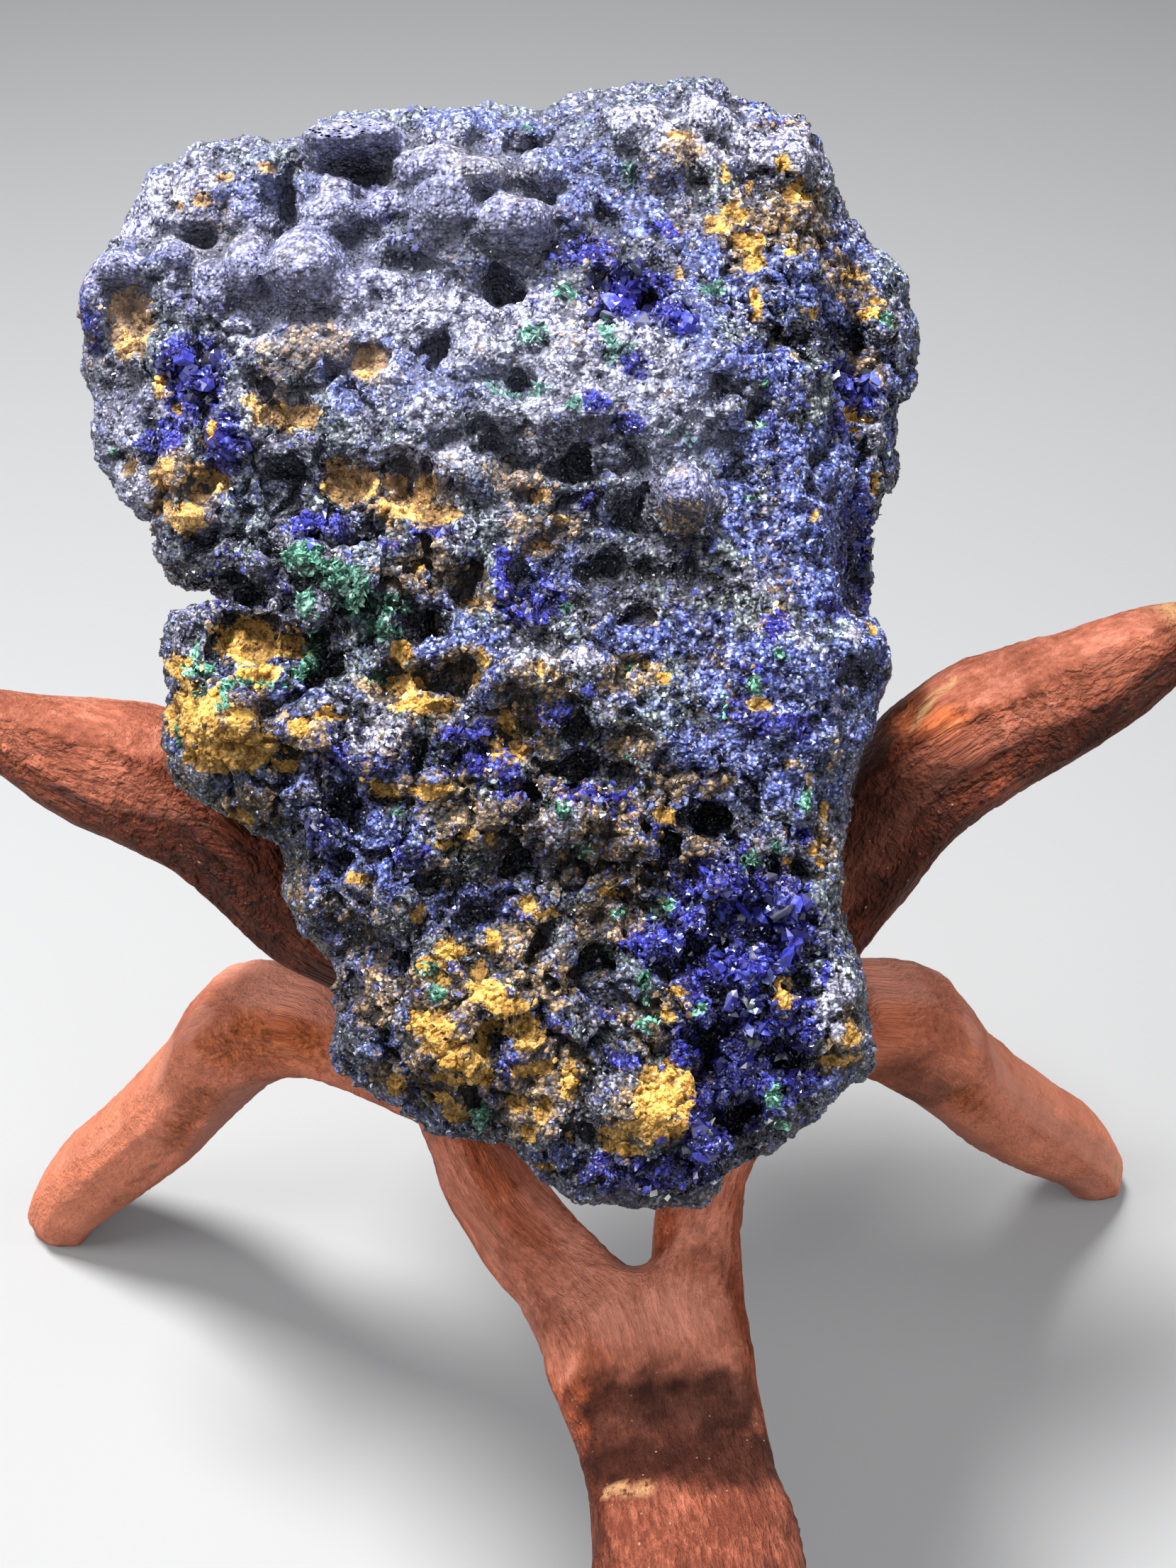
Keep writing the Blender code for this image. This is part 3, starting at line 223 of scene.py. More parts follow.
# What the face is covered with: spots as u, v, half width, half height
OCHRE = [
    (-51, 51, 2.7, 3.9), (-33, 40.8, 4, 1.6), (-37, 42.3, 0.9, 1), (-47.3, 43.7, 0.8, 1.5),
    (-45, 41.3, 0.5, 1), (-51.2, 35.5, 1.2, 1), (-46.8, 34.3, 1.8, 1.6), (-42.8, 34.2, 1, 0.9),
    (-43.8, 32.6, 0.7, 0.7), (-42.5, 31.6, 1.5, 0.7), (-47, 31, 1.6, 0.9), (-44, 29.2, 2.2, 1.6),
    (-41.3, 38, 0.7, 1.2), (-41, 33.3, 1.3, 1.3), (-24, 46.3, 1.9, 1.8), (-27, 33.5, 2.5, 2.6),
    (-24.5, 33.5, 1.5, 2), (-21.5, 33.3, 1.5, 1), (-18, 33, 1.4, 1.4), (-20, 30.6, 3.2, 1.5),
    (-17, 29.4, 2.6, 1.1), (-14.8, 29.9, 1.2, 0.5), (-40.5, 67.5, 1.2, 0.8), (-43, 64.5, 1, 0.7),
    (-45.5, 64.5, 0.8, 0.6), (-35.5, 68.5, 1, 0.6), (10.5, 72.7, 1.6, 0.8), (16.5, 64, 1.8, 1),
    (14.5, 62.5, 1.5, 0.7), (18, 61, 2.2, 1.2), (18.5, 58.5, 1.6, 1.2), (15.2, 68.5, 0.6, 1.4),
    (18.3, 68.3, 0.5, 1.1), (22, 70.5, 1.1, 0.9), (24, 67.3, 2.2, 1.2), (22.2, 63.5, 0.6, 0.9),
    (23.2, 60.5, 0.6, 1.1), (32, 61.5, 1.2, 0.8), (30.5, 59.5, 1, 0.7), (34, 56.5, 1.8, 0.7),
    (35, 58.3, 1.4, 0.6), (18.7, 53.8, 0.7, 2.2), (26, 53, 0.7, 0.7), (10.3, 57, 0.5, 1.2),
    (30.8, 43.5, 1.1, 0.9), (32.5, 43, 1.1, 0.4), (31.5, 41.7, 0.9, 0.4), (34.1, 35.9, 0.5, 1.4),
    (25.3, 29.8, 0.6, 0.9), (32, 17.5, 0.7, 1), (30.5, 19.5, 0.8, 0.5), (-9, 36, 0.5, 0.5),
    (-5, 32, 1.4, 0.7), (-19, 23.7, 0.8, 0.6), (-13, 20, 1.5, 0.6), (-5, 26.5, 0.8, 0.6),
    (-3, 29.5, 1.2, 0.5), (-44, 7.6, 4.2, 3.2), (-45.5, 13, 2.4, 1.4), (-38.5, 4, 4.6, 2.4),
    (-38, 15.8, 4, 2.6), (-33, 15.3, 1.8, 1.6), (-36, 12, 2.6, 1.2), (-44.5, 10.6, 0.7, 1.4),
    (-44.6, 8.8, 0.6, 0.7), (-40.5, 9.3, 1.6, 1), (-37.5, 7.3, 1.8, 1.2), (-42.5, 5.3, 2, 1.1),
    (-41.5, 2.4, 3, 1.5), (-36.5, 4.6, 2.6, 1), (-31.3, 6, 1.3, 1), (-28, 7.5, 2, 0.6),
    (-33.5, 2, 1.6, 0.8), (-39, -3.6, 2, 1), (-44, 3, 1, 1.6), (-20.5, 14.4, 1.3, 1.2),
    (-20.5, 11, 2.4, 1.3), (-18, 8.5, 4, 0.9), (-11.4, 13.4, 0.6, 1.4), (-12.5, 11.6, 0.8, 0.8),
    (-5, 12.6, 0.6, 1.4), (-9, 7, 1, 1.5), (-8, 5, 0.8, 0.8), (-7.4, 3.5, 1.2, 0.8), (-10, 4, 1, 0.7),
    (-17.4, -0.4, 2.6, 1), (-22.5, -1.2, 2, 0.7), (-24, -0.2, 0.8, 0.5), (-13.3, -5.5, 1, 0.8),
    (-15.7, -6.7, 1.1, 0.5), (-10.8, -6, 0.5, 1), (8.5, -3.4, 1.4, 1.2), (8, 11.5, 1, 0.6),
    (6.5, 13.3, 0.6, 0.8), (-25.8, -10.6, 1.2, 0.8), (-18.7, -14.4, 0.6, 1), (-6.5, -13.4, 1.1, 0.9),
    (-4.5, -14.4, 1.4, 0.6), (2, -11.8, 1.4, 0.7), (18.6, 8.6, 1.4, 0.7), (26.5, -3, 0.6, 1.2),
    (25.3, -7, 0.9, 0.8), (26, -8.8, 0.8, 0.5), (22.3, -8.5, 0.6, 0.5), (-10.4, -17.6, 1.2, 1.2),
    (-15, -18, 1.5, 1.1), (-12.9, -18.2, 0.8, 0.5), (-17, -20, 1.8, 0.9), (-16.4, -21.4, 1.6, 0.7),
    (-12, -20.6, 1.2, 1), (-10.8, -22.5, 2.3, 1.4), (-8.8, -24.2, 2.6, 1.2), (-6.7, -25.6, 1.2, 0.7),
    (-9, -26.5, 3, 0.8), (-17, -26, 2.5, 1.5), (-15.5, -28.4, 2.8, 1), (-14, -30.2, 2.4, 1),
    (-15, -32.4, 2.8, 0.9), (-11.3, -32, 1.2, 1.4), (-14.5, -37, 2, 1.5), (-21.5, -33.4, 1.1, 1.4),
    (-16.5, -35, 1.4, 0.8), (-11.7, -28.5, 0.8, 1.6), (-6.3, -28.2, 1.8, 1.2), (-6, -31.4, 2.4, 1.2),
    (-2, -32.6, 1.1, 2.2), (-4.6, -35.8, 0.9, 1.7), (-6.6, -38.7, 1.2, 1.4), (-8, -35.5, 1.8, 0.9),
    (-2, -39.6, 0.5, 0.6), (-4.6, -43, 1, 0.7), (7.6, -34, 2.6, 2.8), (5.8, -37.4, 2.8, 1.5),
    (2.6, -38.4, 1.8, 0.9), (3.4, -40, 2.6, 0.7), (9.2, -31.5, 1, 1.6), (10.6, -33.6, 1.2, 2.4),
    (9.2, -37.6, 1.3, 1.4), (21.3, -23, 1.1, 1.9), (29.3, -28, 0.9, 1.4), (28, -31.4, 2.4, 0.7),
    (8.7, -25.5, 0.8, 0.8), (9.8, -22.5, 0.9, 0.7),
]
BROWN = [
    (24, 65, 6, 5), (31, 60, 4, 4), (17, 62, 3, 5), (10, 71, 2.4, 2.4), (-30, 47.5, 7, 2.8),
    (-35, 44.5, 3, 2), (-45, 32.5, 4.5, 4), (-20, 31.5, 7, 3.6), (-8, 33.5, 4, 2.4), (-24, 46.5, 2.6, 2.8),
    (-17.5, 23.5, 3.4, 3), (-13, 21.5, 2.6, 3.2), (-21, 11, 5, 3.8), (-13.5, 12, 3, 3.4),
    (-8, 5.5, 3.5, 4.5), (-12, -4, 6, 3.8), (-21, -1, 3.4, 1.4), (2.5, -6, 4.4, 5.5), (4, -11, 3.4, 3.6),
    (11.5, 0.5, 4.6, 2), (5, 4, 3, 2.4), (12, -7.5, 2.2, 2.4), (-8, -18, 4, 3), (-4, -22, 4, 3.2),
    (6, -27.5, 2.4, 2.6), (8.6, -24, 2.4, 3), (-4, -31, 4.4, 4.5), (-15, -28, 6, 9.5), (-7, -36, 4, 4.5),
    (-22, -32.5, 2.4, 3.4), (28, -30.5, 3.4, 2.2), (26, -7, 1.4, 3), (-38, -3, 4.5, 3), (-39, 7, 6.5, 4.5),
    (-31, 4.5, 4, 3), (-32.5, -11.5, 2, 3), (4, 12, 4, 2.6), (-21, 22.3, 3, 1.2), (2, -15, 4, 2.6),
    (29.5, -28, 1.8, 3), (-6, 11, 4, 2.6), (10.5, 29, 3, 2), (-5, 28, 5, 2), (-24, -24, 3, 4),
    (33, 50, 3, 3), (6, -36, 5, 4.6),
]
VIVID = [
    (-44, 45, 4, 5), (-55.5, 52, 1.2, 4), (-40, 37.5, 1.6, 3), (-47, 38, 2.6, 2.6), (-30, 28.5, 3.6, 1),
    (-22.5, 63.5, 1.8, 1.4), (8.5, 62, 2, 1.2), (-1, 59, 4, 2), (5, 54, 4.5, 4), (10, 50.5, 2.4, 1.8),
    (1, 41, 1.6, 1.4), (4.5, 39, 1.6, 1.4), (5, 45.5, 2, 1.2), (0.3, 31.5, 0.9, 1.3), (-17, 27.5, 2.4, 1),
    (-22, 26, 1.4, 0.9), (-9.6, 24, 1.2, 2.2), (-9.2, 21, 0.9, 1.8), (-7.5, 19.2, 1.8, 0.9),
    (-4.6, 18.8, 1.2, 0.9), (27.5, 19.5, 1.6, 1), (20.5, 17.5, 2, 1.6), (17.5, 11.4, 1.4, 1),
    (16, 8, 2, 1.6), (21, 6.5, 4.5, 1.2), (32.4, 38.5, 0.7, 0.7), (30, 47, 2.4, 2), (29, 42, 1.6, 2.4),
    (33, 28, 1, 1.2), (-13, 5.5, 4, 1.2), (-12.5, 2.2, 4.2, 1.7), (-8.6, 0.4, 1.6, 2.8),
    (-24, 1.6, 1.6, 0.9), (-28.5, 3, 2.4, 1.6), (-6.6, 0.7, 0.7, 0.6), (-4, 7.6, 2, 1.2),
    (0, 10.5, 1.2, 1.2), (-0.6, -0.9, 2.6, 0.8), (2.6, -1.9, 1.8, 0.8), (4.6, -3.3, 1, 0.8),
    (8.2, -4.6, 1.4, 0.8), (9, -8, 1.4, 1.4), (1.3, -7, 0.6, 0.7), (3, -10, 0.5, 0.5), (-6, -8.3, 2.4, 0.6),
    (-29.8, -6, 1.6, 1.8), (-20, -7.6, 3, 0.9), (-7, -15.5, 1.4, 0.7), (-14.3, -21.3, 1, 1.2),
    (24, -5.6, 1.1, 1.6), (13, -11.5, 3.4, 3), (17.5, -12.6, 3.4, 1.2), (22.5, -13, 1.4, 2.4),
    (24, -15.5, 1.2, 1.2), (22.4, -18, 1.6, 2), (8.5, -17.5, 3.4, 3), (4.6, -17.5, 1.8, 1.6),
    (12.4, -21.8, 1.4, 1.8), (15.8, -20.5, 2.2, 2.2), (19.5, -20, 3, 1.3), (16.5, -23.8, 2, 1.4),
    (12, -24.4, 1.8, 1.3), (18.3, -26.8, 1.4, 1.5), (21, -26.2, 1.3, 0.6), (23.6, -23.8, 1, 1.6),
    (23.7, -28.5, 1.8, 1.5), (22, -33, 2.6, 1.4), (16, -32, 2, 2.4), (25, -33, 1.6, 1.4),
    (12.3, -37, 2, 4.4), (13.5, -41, 1.6, 2.2), (8, -42.5, 4.4, 1.8), (3, -42, 3, 1.2), (4, -30, 2.6, 0.9),
    (10.6, -39, 1.2, 0.9), (-8.5, -31, 1.3, 1.2), (-4.5, -27, 1.6, 1), (2, -25.4, 1.6, 0.8),
    (26.3, -20.5, 0.8, 2), (9.4, -28.4, 1.2, 1),
]
DUSTY = [
    (12, 45, 4, 4), (20, 46, 5, 2.4), (22, 43, 3, 2), (16.5, 33, 2.4, 3.8), (17, 28, 2.6, 3.2),
    (19, 25, 2.6, 2.2), (24.5, 21, 3.6, 2.6), (22, 27, 5, 5), (24, 35, 4, 5), (20, 38, 5, 2.6),
    (13, 37, 4, 2.4), (20, 3.5, 7, 2), (26, 7.5, 3, 2), (27, 11.5, 3, 2.4), (24, 55, 4, 3),
    (20, 76, 6, 2.6), (-12, 74, 8, 2), (-27, 62, 3, 1.4), (23, 12.5, 1.2, 2), (-52.5, 57.5, 3, 1.6),
    (-15, 55, 7, 2.4), (-26, 44, 3, 5), (-36, 64, 7, 3), (2, 66, 8, 6), (-4, 24, 6, 2.4), (8, 16, 9, 3),
    (20, 10, 9, 6), (-24, -8, 8, 5), (-48, 60, 6, 3), (-30, 52, 9, 2.4), (30, 30, 4, 16), (-22, 0, 8, 4),
    (-12, -14, 6, 3), (30, 60, 5, 8),
]
PALE = [
    (-26, 71.3, 4.6, 1.5), (-30.8, 58.5, 3, 2.6), (-37.6, 59, 1.8, 2), (-28.5, 63.2, 3, 1.4),
    (-17, 69.3, 3, 1.6), (-12.5, 67, 3.6, 1.5), (-8, 62.6, 3, 1.6), (-16, 52.5, 6, 3), (-28, 54.6, 3.4, 1),
    (-28, 50, 6, 1.6), (-42, 67.5, 1.8, 1.4), (-40, 64.5, 1, 0.8), (-22.5, 44.5, 2, 4),
    (-24.5, 39.5, 2.4, 1.6), (-13, 47.5, 2.6, 2.4), (-7, 48.5, 4, 1.6), (-2.6, 46, 2.6, 5.5),
    (-6, 40.4, 7, 1.2), (-17, 40, 3, 2), (-19, 36.6, 4, 1), (14, 76.5, 3.2, 1.8), (4, 75, 2.6, 1.2),
    (20, 67.5, 1.4, 1.4), (13.8, 67.5, 0.9, 1.2), (10.8, 32, 3.4, 2.6), (3.2, 32.8, 1.6, 1.2),
    (34.5, 41, 1.4, 3.4), (31, 48, 3, 2.6), (33, 30.4, 1, 1.8), (30, 32.4, 1, 1.3), (-5, 13, 4, 1.8),
    (-0.5, 13.4, 2.6, 1.4), (2.6, 8.8, 1.8, 1), (-22.5, 5.4, 3, 2.6), (-28.3, 4, 1, 1), (-3, -4, 3.2, 2),
    (14, -11.5, 2.6, 1.8), (19, -9.6, 3, 1), (17.5, -8.4, 2.6, 1.4), (8.6, -16.4, 1.6, 1),
    (9.3, -21.4, 1, 0.7), (-0.5, -37, 2, 5), (-24.5, -12.5, 2.6, 1.4), (27.5, -25, 2.6, 4.5),
    (-14.5, 35, 2.4, 2.4), (29.5, 17, 1.8, 1.4), (21, 7, 4, 1), (-40, 5.8, 4, 1), (-43, 7.4, 2.4, 0.8),
    (0, 46, 12, 6), (10, 40, 5, 3), (-14, 52, 18, 3.4), (-48, 64, 6, 5), (-20, 66, 8, 8), (16, 74, 14, 5),
    (-51, 33, 4, 8), (-38, 49, 4, 3), (-28, 57, 14, 5),
]
MALACHITE = [
    (-53.3, 37.3, 0.8, 0.6), (-31.4, 24.6, 2.2, 1.8), (-28.6, 23.2, 2.6, 1.5), (-26, 22, 2.4, 1.6),
    (-25.6, 19.6, 2, 1.4), (-23.2, 19, 2.2, 1.6), (-21, 19.8, 1.8, 1), (-22.6, 16.8, 2.4, 0.8),
    (-31, 19.6, 1.2, 1.6), (-30.6, 14.5, 1.2, 2.4), (-31.8, 12.2, 1.2, 0.8), (-43.5, 15, 0.6, 1.1),
    (-43, 12.6, 2.3, 0.7), (-38.6, 11, 1.8, 0.7), (-39.4, 9, 0.6, 1.4), (-42.5, 10.4, 0.9, 0.7),
    (-35, 10.7, 2, 0.3), (-45.6, 6, 0.4, 2.5), (4.5, 68.8, 0.9, 1.2), (-2.3, 54, 1.5, 0.9),
    (-6.8, 73.5, 0.8, 0.5), (36, 55.8, 1.2, 0.9), (14, 55, 1.8, 0.6), (-6, 49, 1.9, 1), (2, 49.4, 1.2, 1.2),
    (2.6, 47, 0.8, 2.2), (4.5, 47.2, 0.9, 0.5), (-10.2, 43.7, 1, 0.8), (-8.4, 42.7, 1.8, 0.5),
    (-5.6, 43, 1, 0.6), (-1.6, 41.4, 1, 0.6), (19.5, 43.7, 0.5, 0.5), (19, 39.5, 0.9, 0.5),
    (10.9, 38, 0.8, 0.4), (9, 38.2, 0.9, 0.5), (18.2, 31.6, 0.5, 0.5), (-2.5, 19.2, 0.7, 0.6),
    (20.7, 14, 0.8, 0.8), (18, 11, 0.8, 1), (15, 8.5, 0.35, 1.4), (24.3, -2, 0.7, 1.3),
    (18, -8.3, 1.2, 0.9), (21, -6.8, 0.7, 0.6), (-23, 12, 1.6, 0.9), (4.7, 12.5, 0.4, 0.7),
    (4.2, 3.3, 0.4, 0.3), (-21.2, -2.9, 0.8, 0.5), (-3, -3, 1, 0.9), (-1, -7.2, 1.2, 0.6),
    (8.5, -13.3, 1.2, 0.8), (7, -14.5, 0.7, 0.5), (3.2, -14.3, 0.8, 0.6), (2, -19, 0.8, 0.9),
    (6.3, -21.3, 0.8, 1.2), (6.5, -23.6, 0.8, 0.5), (6.5, -26, 1.2, 0.7), (-17.6, -20.2, 1.4, 0.8),
    (-16.4, -23, 1, 0.8), (-11.7, -37, 1.1, 1.4), (-3, -37, 0.6, 0.5), (12, -24.6, 0.8, 0.7),
    (20.3, -34.3, 1.3, 1.2), (21, -37.3, 1, 0.9), (7.4, -39.4, 0.5, 0.4),
]
# Where the pale blue-grey overlay of dust and painted light lies thicker
HAZE_AND_LIGHT = [(8, 40, 8, 8), (-12, 46, 9, 6)]
RED = [
    (-1.5, -6, 1.1, 0.8), (-2, 10.2, 1.6, 0.5), (22.4, 1.9, 1.6, 0.35), (24.1, 0.6, 0.5, 0.7),
    (27.5, 3.2, 0.8, 0.5), (27, 1.8, 0.4, 0.6), (9.8, 33.9, 1.2, 0.6), (-6.5, 38.6, 1.2, 0.5),
    (-8, 46.6, 0.6, 0.4), (22.8, 47.5, 0.8, 0.5), (3.8, 40.8, 0.8, 0.7), (8.6, 42, 0.6, 0.5),
]
# Dark patches: partly dark ground, partly painted shade in deep hollows and under overhanging lumps
DARK_AND_SHADED_SPOTS = [
    (2, 22, 7, 5), (13, 22, 5, 4.5), (-28, -27, 3, 6.5), (15.5, -31, 3.4, 8), (-28.5, 15, 2.4, 4),
    (-33.5, 33, 2.4, 3.4), (-9.5, 54.5, 2.8, 2), (-24.5, 68, 4, 1.2), (-13.5, 58.5, 3, 2),
    (-16, 62.5, 3, 2.4), (-38, 61.6, 2, 1.2), (-38, -5.5, 5, 4), (-33, -8, 3, 5), (-26.5, -3, 1.8, 2.4),
    (-15, -12, 7, 5), (2, 62, 2.4, 2), (31.5, 24, 1.6, 7), (30.5, 12.6, 2.4, 2), (23, -31, 3, 4),
    (-44.5, 24.5, 2.4, 3), (-8, -10, 3, 2), (0, -20, 2.6, 4), (-18, 18, 3, 1.8), (0, 35, 5, 1.6),
    (17.5, -16.5, 4, 1.8), (2, 1, 4, 1.4), (14, -4, 3, 1.8), (-20, 57.5, 4, 1.4), (19, -37.5, 3, 2.4),
    (-24, -18, 4, 3), (6, 58, 3, 2), (-16, 48, 2, 2),
]
# Where it is ragged, where it hangs in smooth grape-like lumps and where it stands in flat-faced crystals
RAGGED = [
    (-14, -4, 17, 11), (4, -10, 13, 12), (-11, -28, 18, 15), (15, -26, 14, 16), (-36, 9, 13, 12),
    (-38, 32, 16, 10), (-20, 30, 9, 6), (-30, 43, 8, 4), (24, 58, 9, 14), (33, 42, 6, 16), (1, 33, 8, 5),
    (-26, 20, 10, 6), (14, -6, 12, 8), (4, 52, 6, 5), (-46, 48, 8, 8),
]
SMOOTH = [
    (-34, 58, 13, 6.5), (-26, 71.2, 6.5, 3), (-13.5, 65, 8, 6.5), (-53, 56, 4, 3.5), (-8, 61.5, 4.6, 3.4),
    (-26, 64, 5, 3), (-43, 29, 2, 1.6), (10.4, 31.2, 3, 3),
]
FACETED = [
    (16, -16, 10, 9), (17, -29, 9, 10), (13, -39, 3.4, 6), (4.5, 54, 5, 4.5), (-44, 45, 4, 5.5),
    (-39.5, 37.5, 2.4, 4), (32, 28, 3, 8), (31, 47, 4, 4), (5, -43, 7, 2.6), (-30, 28.5, 4, 1.6),
    (-6.5, 20, 4, 3),
]
# Beds of larger azurite crystals: u, v, reach, how many, longest half
CRYSTAL_BEDS = [
    (4, 54, 4.5, 34, 2.4), (-44, 45.5, 4, 34, 2.2), (-39.5, 37.5, 2.4, 14, 1.7), (-29.5, 28.5, 3, 12, 1.5),
    (-20, 59.5, 3.2, 16, 1.3), (16, -12, 6, 40, 1.9), (22.5, -14.5, 2.6, 16, 2.4), (22.4, -18, 2, 10, 2.6),
    (15.8, -20.7, 3, 26, 1.5), (20, -20.5, 3, 20, 1.7), (17.5, -24, 3, 22, 1.9), (19, -27, 3, 16, 2),
    (23.5, -28.5, 2.4, 22, 1.3), (16, -33, 3.4, 22, 1.9), (22, -33, 3, 18, 1.7), (12.5, -38, 3, 30, 1.9),
    (8, -42.5, 5, 40, 1.4), (8.5, -18, 4, 34, 1.4), (32, 27, 3, 24, 2.2), (31, 47, 4, 30, 1.7),
    (-12, 3, 5, 60, 0.9), (1.5, -1.6, 3.5, 24, 1.2), (-6.5, 20, 3.4, 22, 1.3), (-29.8, -6, 2, 12, 1.4),
    (24, -5.6, 1.6, 10, 1.4), (-9, -0.5, 2, 20, 0.9), (10, 50.5, 2.5, 16, 1.5),
]


def new_object(name, mesh):
    obj = bpy.data.objects.new(name, mesh)
    bpy.context.scene.collection.objects.link(obj)
    return obj


def settle(obj):
    """Works the modifiers into the object's own mesh."""
    graph = bpy.context.evaluated_depsgraph_get()
    mesh = bpy.data.meshes.new_from_object(obj.evaluated_get(graph))
    obj.modifiers.clear()
    obj.data = mesh
    return obj


def points_of(mesh):
    points = np.empty(len(mesh.vertices) * 3)
    mesh.vertices.foreach_get("co", points)
    return points.reshape(-1, 3)


def normals_of(mesh):
    normals = np.empty(len(mesh.vertices) * 3)
    mesh.vertices.foreach_get("normal", normals)
    return normals.reshape(-1, 3)


def triangles_of(mesh):
    mesh.calc_loop_triangles()
    corners = np.empty(len(mesh.loop_triangles) * 3, np.int32)
    mesh.loop_triangles.foreach_get("vertices", corners)
    return corners.reshape(-1, 3)


def set_points(mesh, points):
    mesh.vertices.foreach_set("co", np.ascontiguousarray(points, np.float64).ravel())
    mesh.update()


def set_values(mesh, name, values):
    """Stores one number for each vertex, for the material to read."""
    attribute = mesh.attributes.new(name, "FLOAT", "POINT")
    attribute.data.foreach_set("value", np.ascontiguousarray(values, np.float32))


def smooth_step(x):
    x = np.clip(x, 0.0, 1.0)
    return x * x * (3 - 2 * x)


def fractal(points, size, octaves):
    """The solid's own noise, one feature being about size millimetres."""
    return np.array([
        noise.fractal(Vector(p) / size, 0.9, 2.1, octaves, noise_basis="PERLIN_ORIGINAL")
        for p in points
    ])


def hashed(cell, seed):
    """An even random number from 0 to 1 for each whole-number cell."""
    x, y, z = cell.astype(np.int64).astype(np.uint32).T
    mixed = x * np.uint32(374761393) + y * np.uint32(668265263) + z * np.uint32(3266489917)
    mixed = mixed + np.uint32(seed * 97463 + 1)
    mixed = (mixed ^ (mixed >> np.uint32(13))) * np.uint32(1274126177)
    mixed = (mixed ^ (mixed >> np.uint32(15))) * np.uint32(2246822519)
    return (mixed ^ (mixed >> np.uint32(16))) / 2.0**32


def value_noise(points, size, seed, octaves=3):
    """Noise from about -1 to 1, its largest features about size across."""
    total = np.zeros(len(points))
    for octave in range(octaves):
        scaled = points * (2**octave / size)
        cell = np.floor(scaled)
        part = smooth_step(scaled - cell)
        for corner in np.ndindex(2, 2, 2):
            share = np.where(corner, part, 1 - part).prod(axis=1)
            total += share * (2 * hashed(cell + corner, seed + octave) - 1) / 1.6**octave
    return total


def cells(points, size, seed):
    """Seeds strewn one to a cell: how far the nearest and the next are, its number and the way from it."""
    scaled = points / size
    base = np.floor(scaled)
    nearest = np.full(len(points), 9.0)
    second = np.full(len(points), 9.0)
    number = np.zeros(len(points))
    way = np.zeros((len(points), 3))
    for step in np.ndindex(3, 3, 3):
        cell = base + step - 1
        offset = scaled - cell - np.stack([hashed(cell, seed + k) for k in range(3)], axis=1)
        distance = np.linalg.norm(offset, axis=1)
        closer = distance < nearest
        second = np.where(closer, nearest, np.minimum(second, distance))
        nearest = np.where(closer, distance, nearest)
        number = np.where(closer, hashed(cell, seed + 3), number)
        way = np.where(closer[:, None], offset, way)
    return nearest, second, number, way


def unit(vectors):
    return vectors / np.maximum(np.linalg.norm(vectors, axis=1, keepdims=True), 1e-9)


# The ore's shape

def pillow():
    """The block before it is worked: the outline, closed in front and behind."""
    bm = bmesh.new()
    spine = np.array(SPINE)
    outline = np.array(OUTLINE)
    rim = [bm.verts.new((*p, 0.0)) for p in outline]
    for bulge in (FRONT_BULGE, -BACK_BULGE):
        rings = [rim]
        for step in range(1, PILLOW_RINGS):
            share = math.cos(0.5 * math.pi * step / PILLOW_RINGS)
            height = bulge * (1 - share**PILLOW_POWER) ** (1 / PILLOW_POWER)
            rings.append([bm.verts.new((*(spine + (p - spine) * share), height)) for p in outline])
        for low, high in zip(rings, rings[1:]):
            for k in range(len(outline)):
                n = (k + 1) % len(outline)
                bm.faces.new((low[k], low[n], high[n], high[k]))
        bm.faces.new(rings[-1])
    bmesh.ops.recalc_face_normals(bm, faces=bm.faces[:])
    mesh = bpy.data.meshes.new("ore")
    bm.to_mesh(mesh)
    bm.free()
    return new_object("ore", mesh)


def even_out(obj, voxel):
    """Builds the surface anew with even facets, and opens any fold."""
    remesh = obj.modifiers.new("Even", "REMESH")
    remesh.mode = "VOXEL"
    remesh.voxel_size = voxel
    return settle(obj)


def shape_block(points):
    """The top right falls back behind an edge that runs down the face, and the heel is deeper."""
    u, v, w = points.T
    behind = smooth_step((u - SIDE_EDGE[0]) / 9.0) * smooth_step((v - SIDE_EDGE[1]) / 12.0)
    fall = CORNER_SLOPE * np.clip(u + v - CORNER, 0.0, 60.0)
    moved = points.copy()
    moved[:, 2] -= (SIDE_STEP * behind + fall) * smooth_step((w + 16.0) / 18.0)
    moved[:, 2] -= HEEL * smooth_step((-v - 4.0) / 30.0) * smooth_step((-w - 4.0) / 20.0)
    return moved


def relief(points):
    """How far each point of the face stands out for the lumps, less the hollows. Their edges are ragged."""
    even = 1 - 0.75 * in_spots(points, SMOOTH, 0.6, 7)
    u, v = (
        points[:, k] + even * (
            1.1 * value_noise(points, 4.0, 150 + k, 2) + 0.5 * value_noise(points, 1.6, 160 + k, 2)
        )
        for k in range(2)
    )
    out = np.zeros(len(points))
    for cu, cv, wide, tall, height in LUMPS:
        reach = ((u - cu) / wide) ** 2 + ((v - cv) / tall) ** 2
        out = np.maximum(out, height * np.sqrt(np.clip(1 - reach, 0, 1)))
    out *= 1.6 - 0.8 * even
    for cu, cv, wide, tall, height in SWELLS:
        out += height * smooth_step(1.3 - 1.3 * np.hypot((u - cu) / wide, (v - cv) / tall))
    u, v = (part + 0.8 * value_noise(points, 2.6, 170 + k, 3) for k, part in enumerate((u, v)))
    for cu, cv, wide, tall, depth in HOLLOWS:
        reach = ((u - cu) / (wide + RIM)) ** 2 + ((v - cv) / (tall + RIM)) ** 2
        out -= HOLLOW_SHARE * depth * smooth_step(1.5 - 1.5 * reach)
    return out


def facing_of(normals):
    return smooth_step((normals[:, 2] - 0.05) / 0.6)


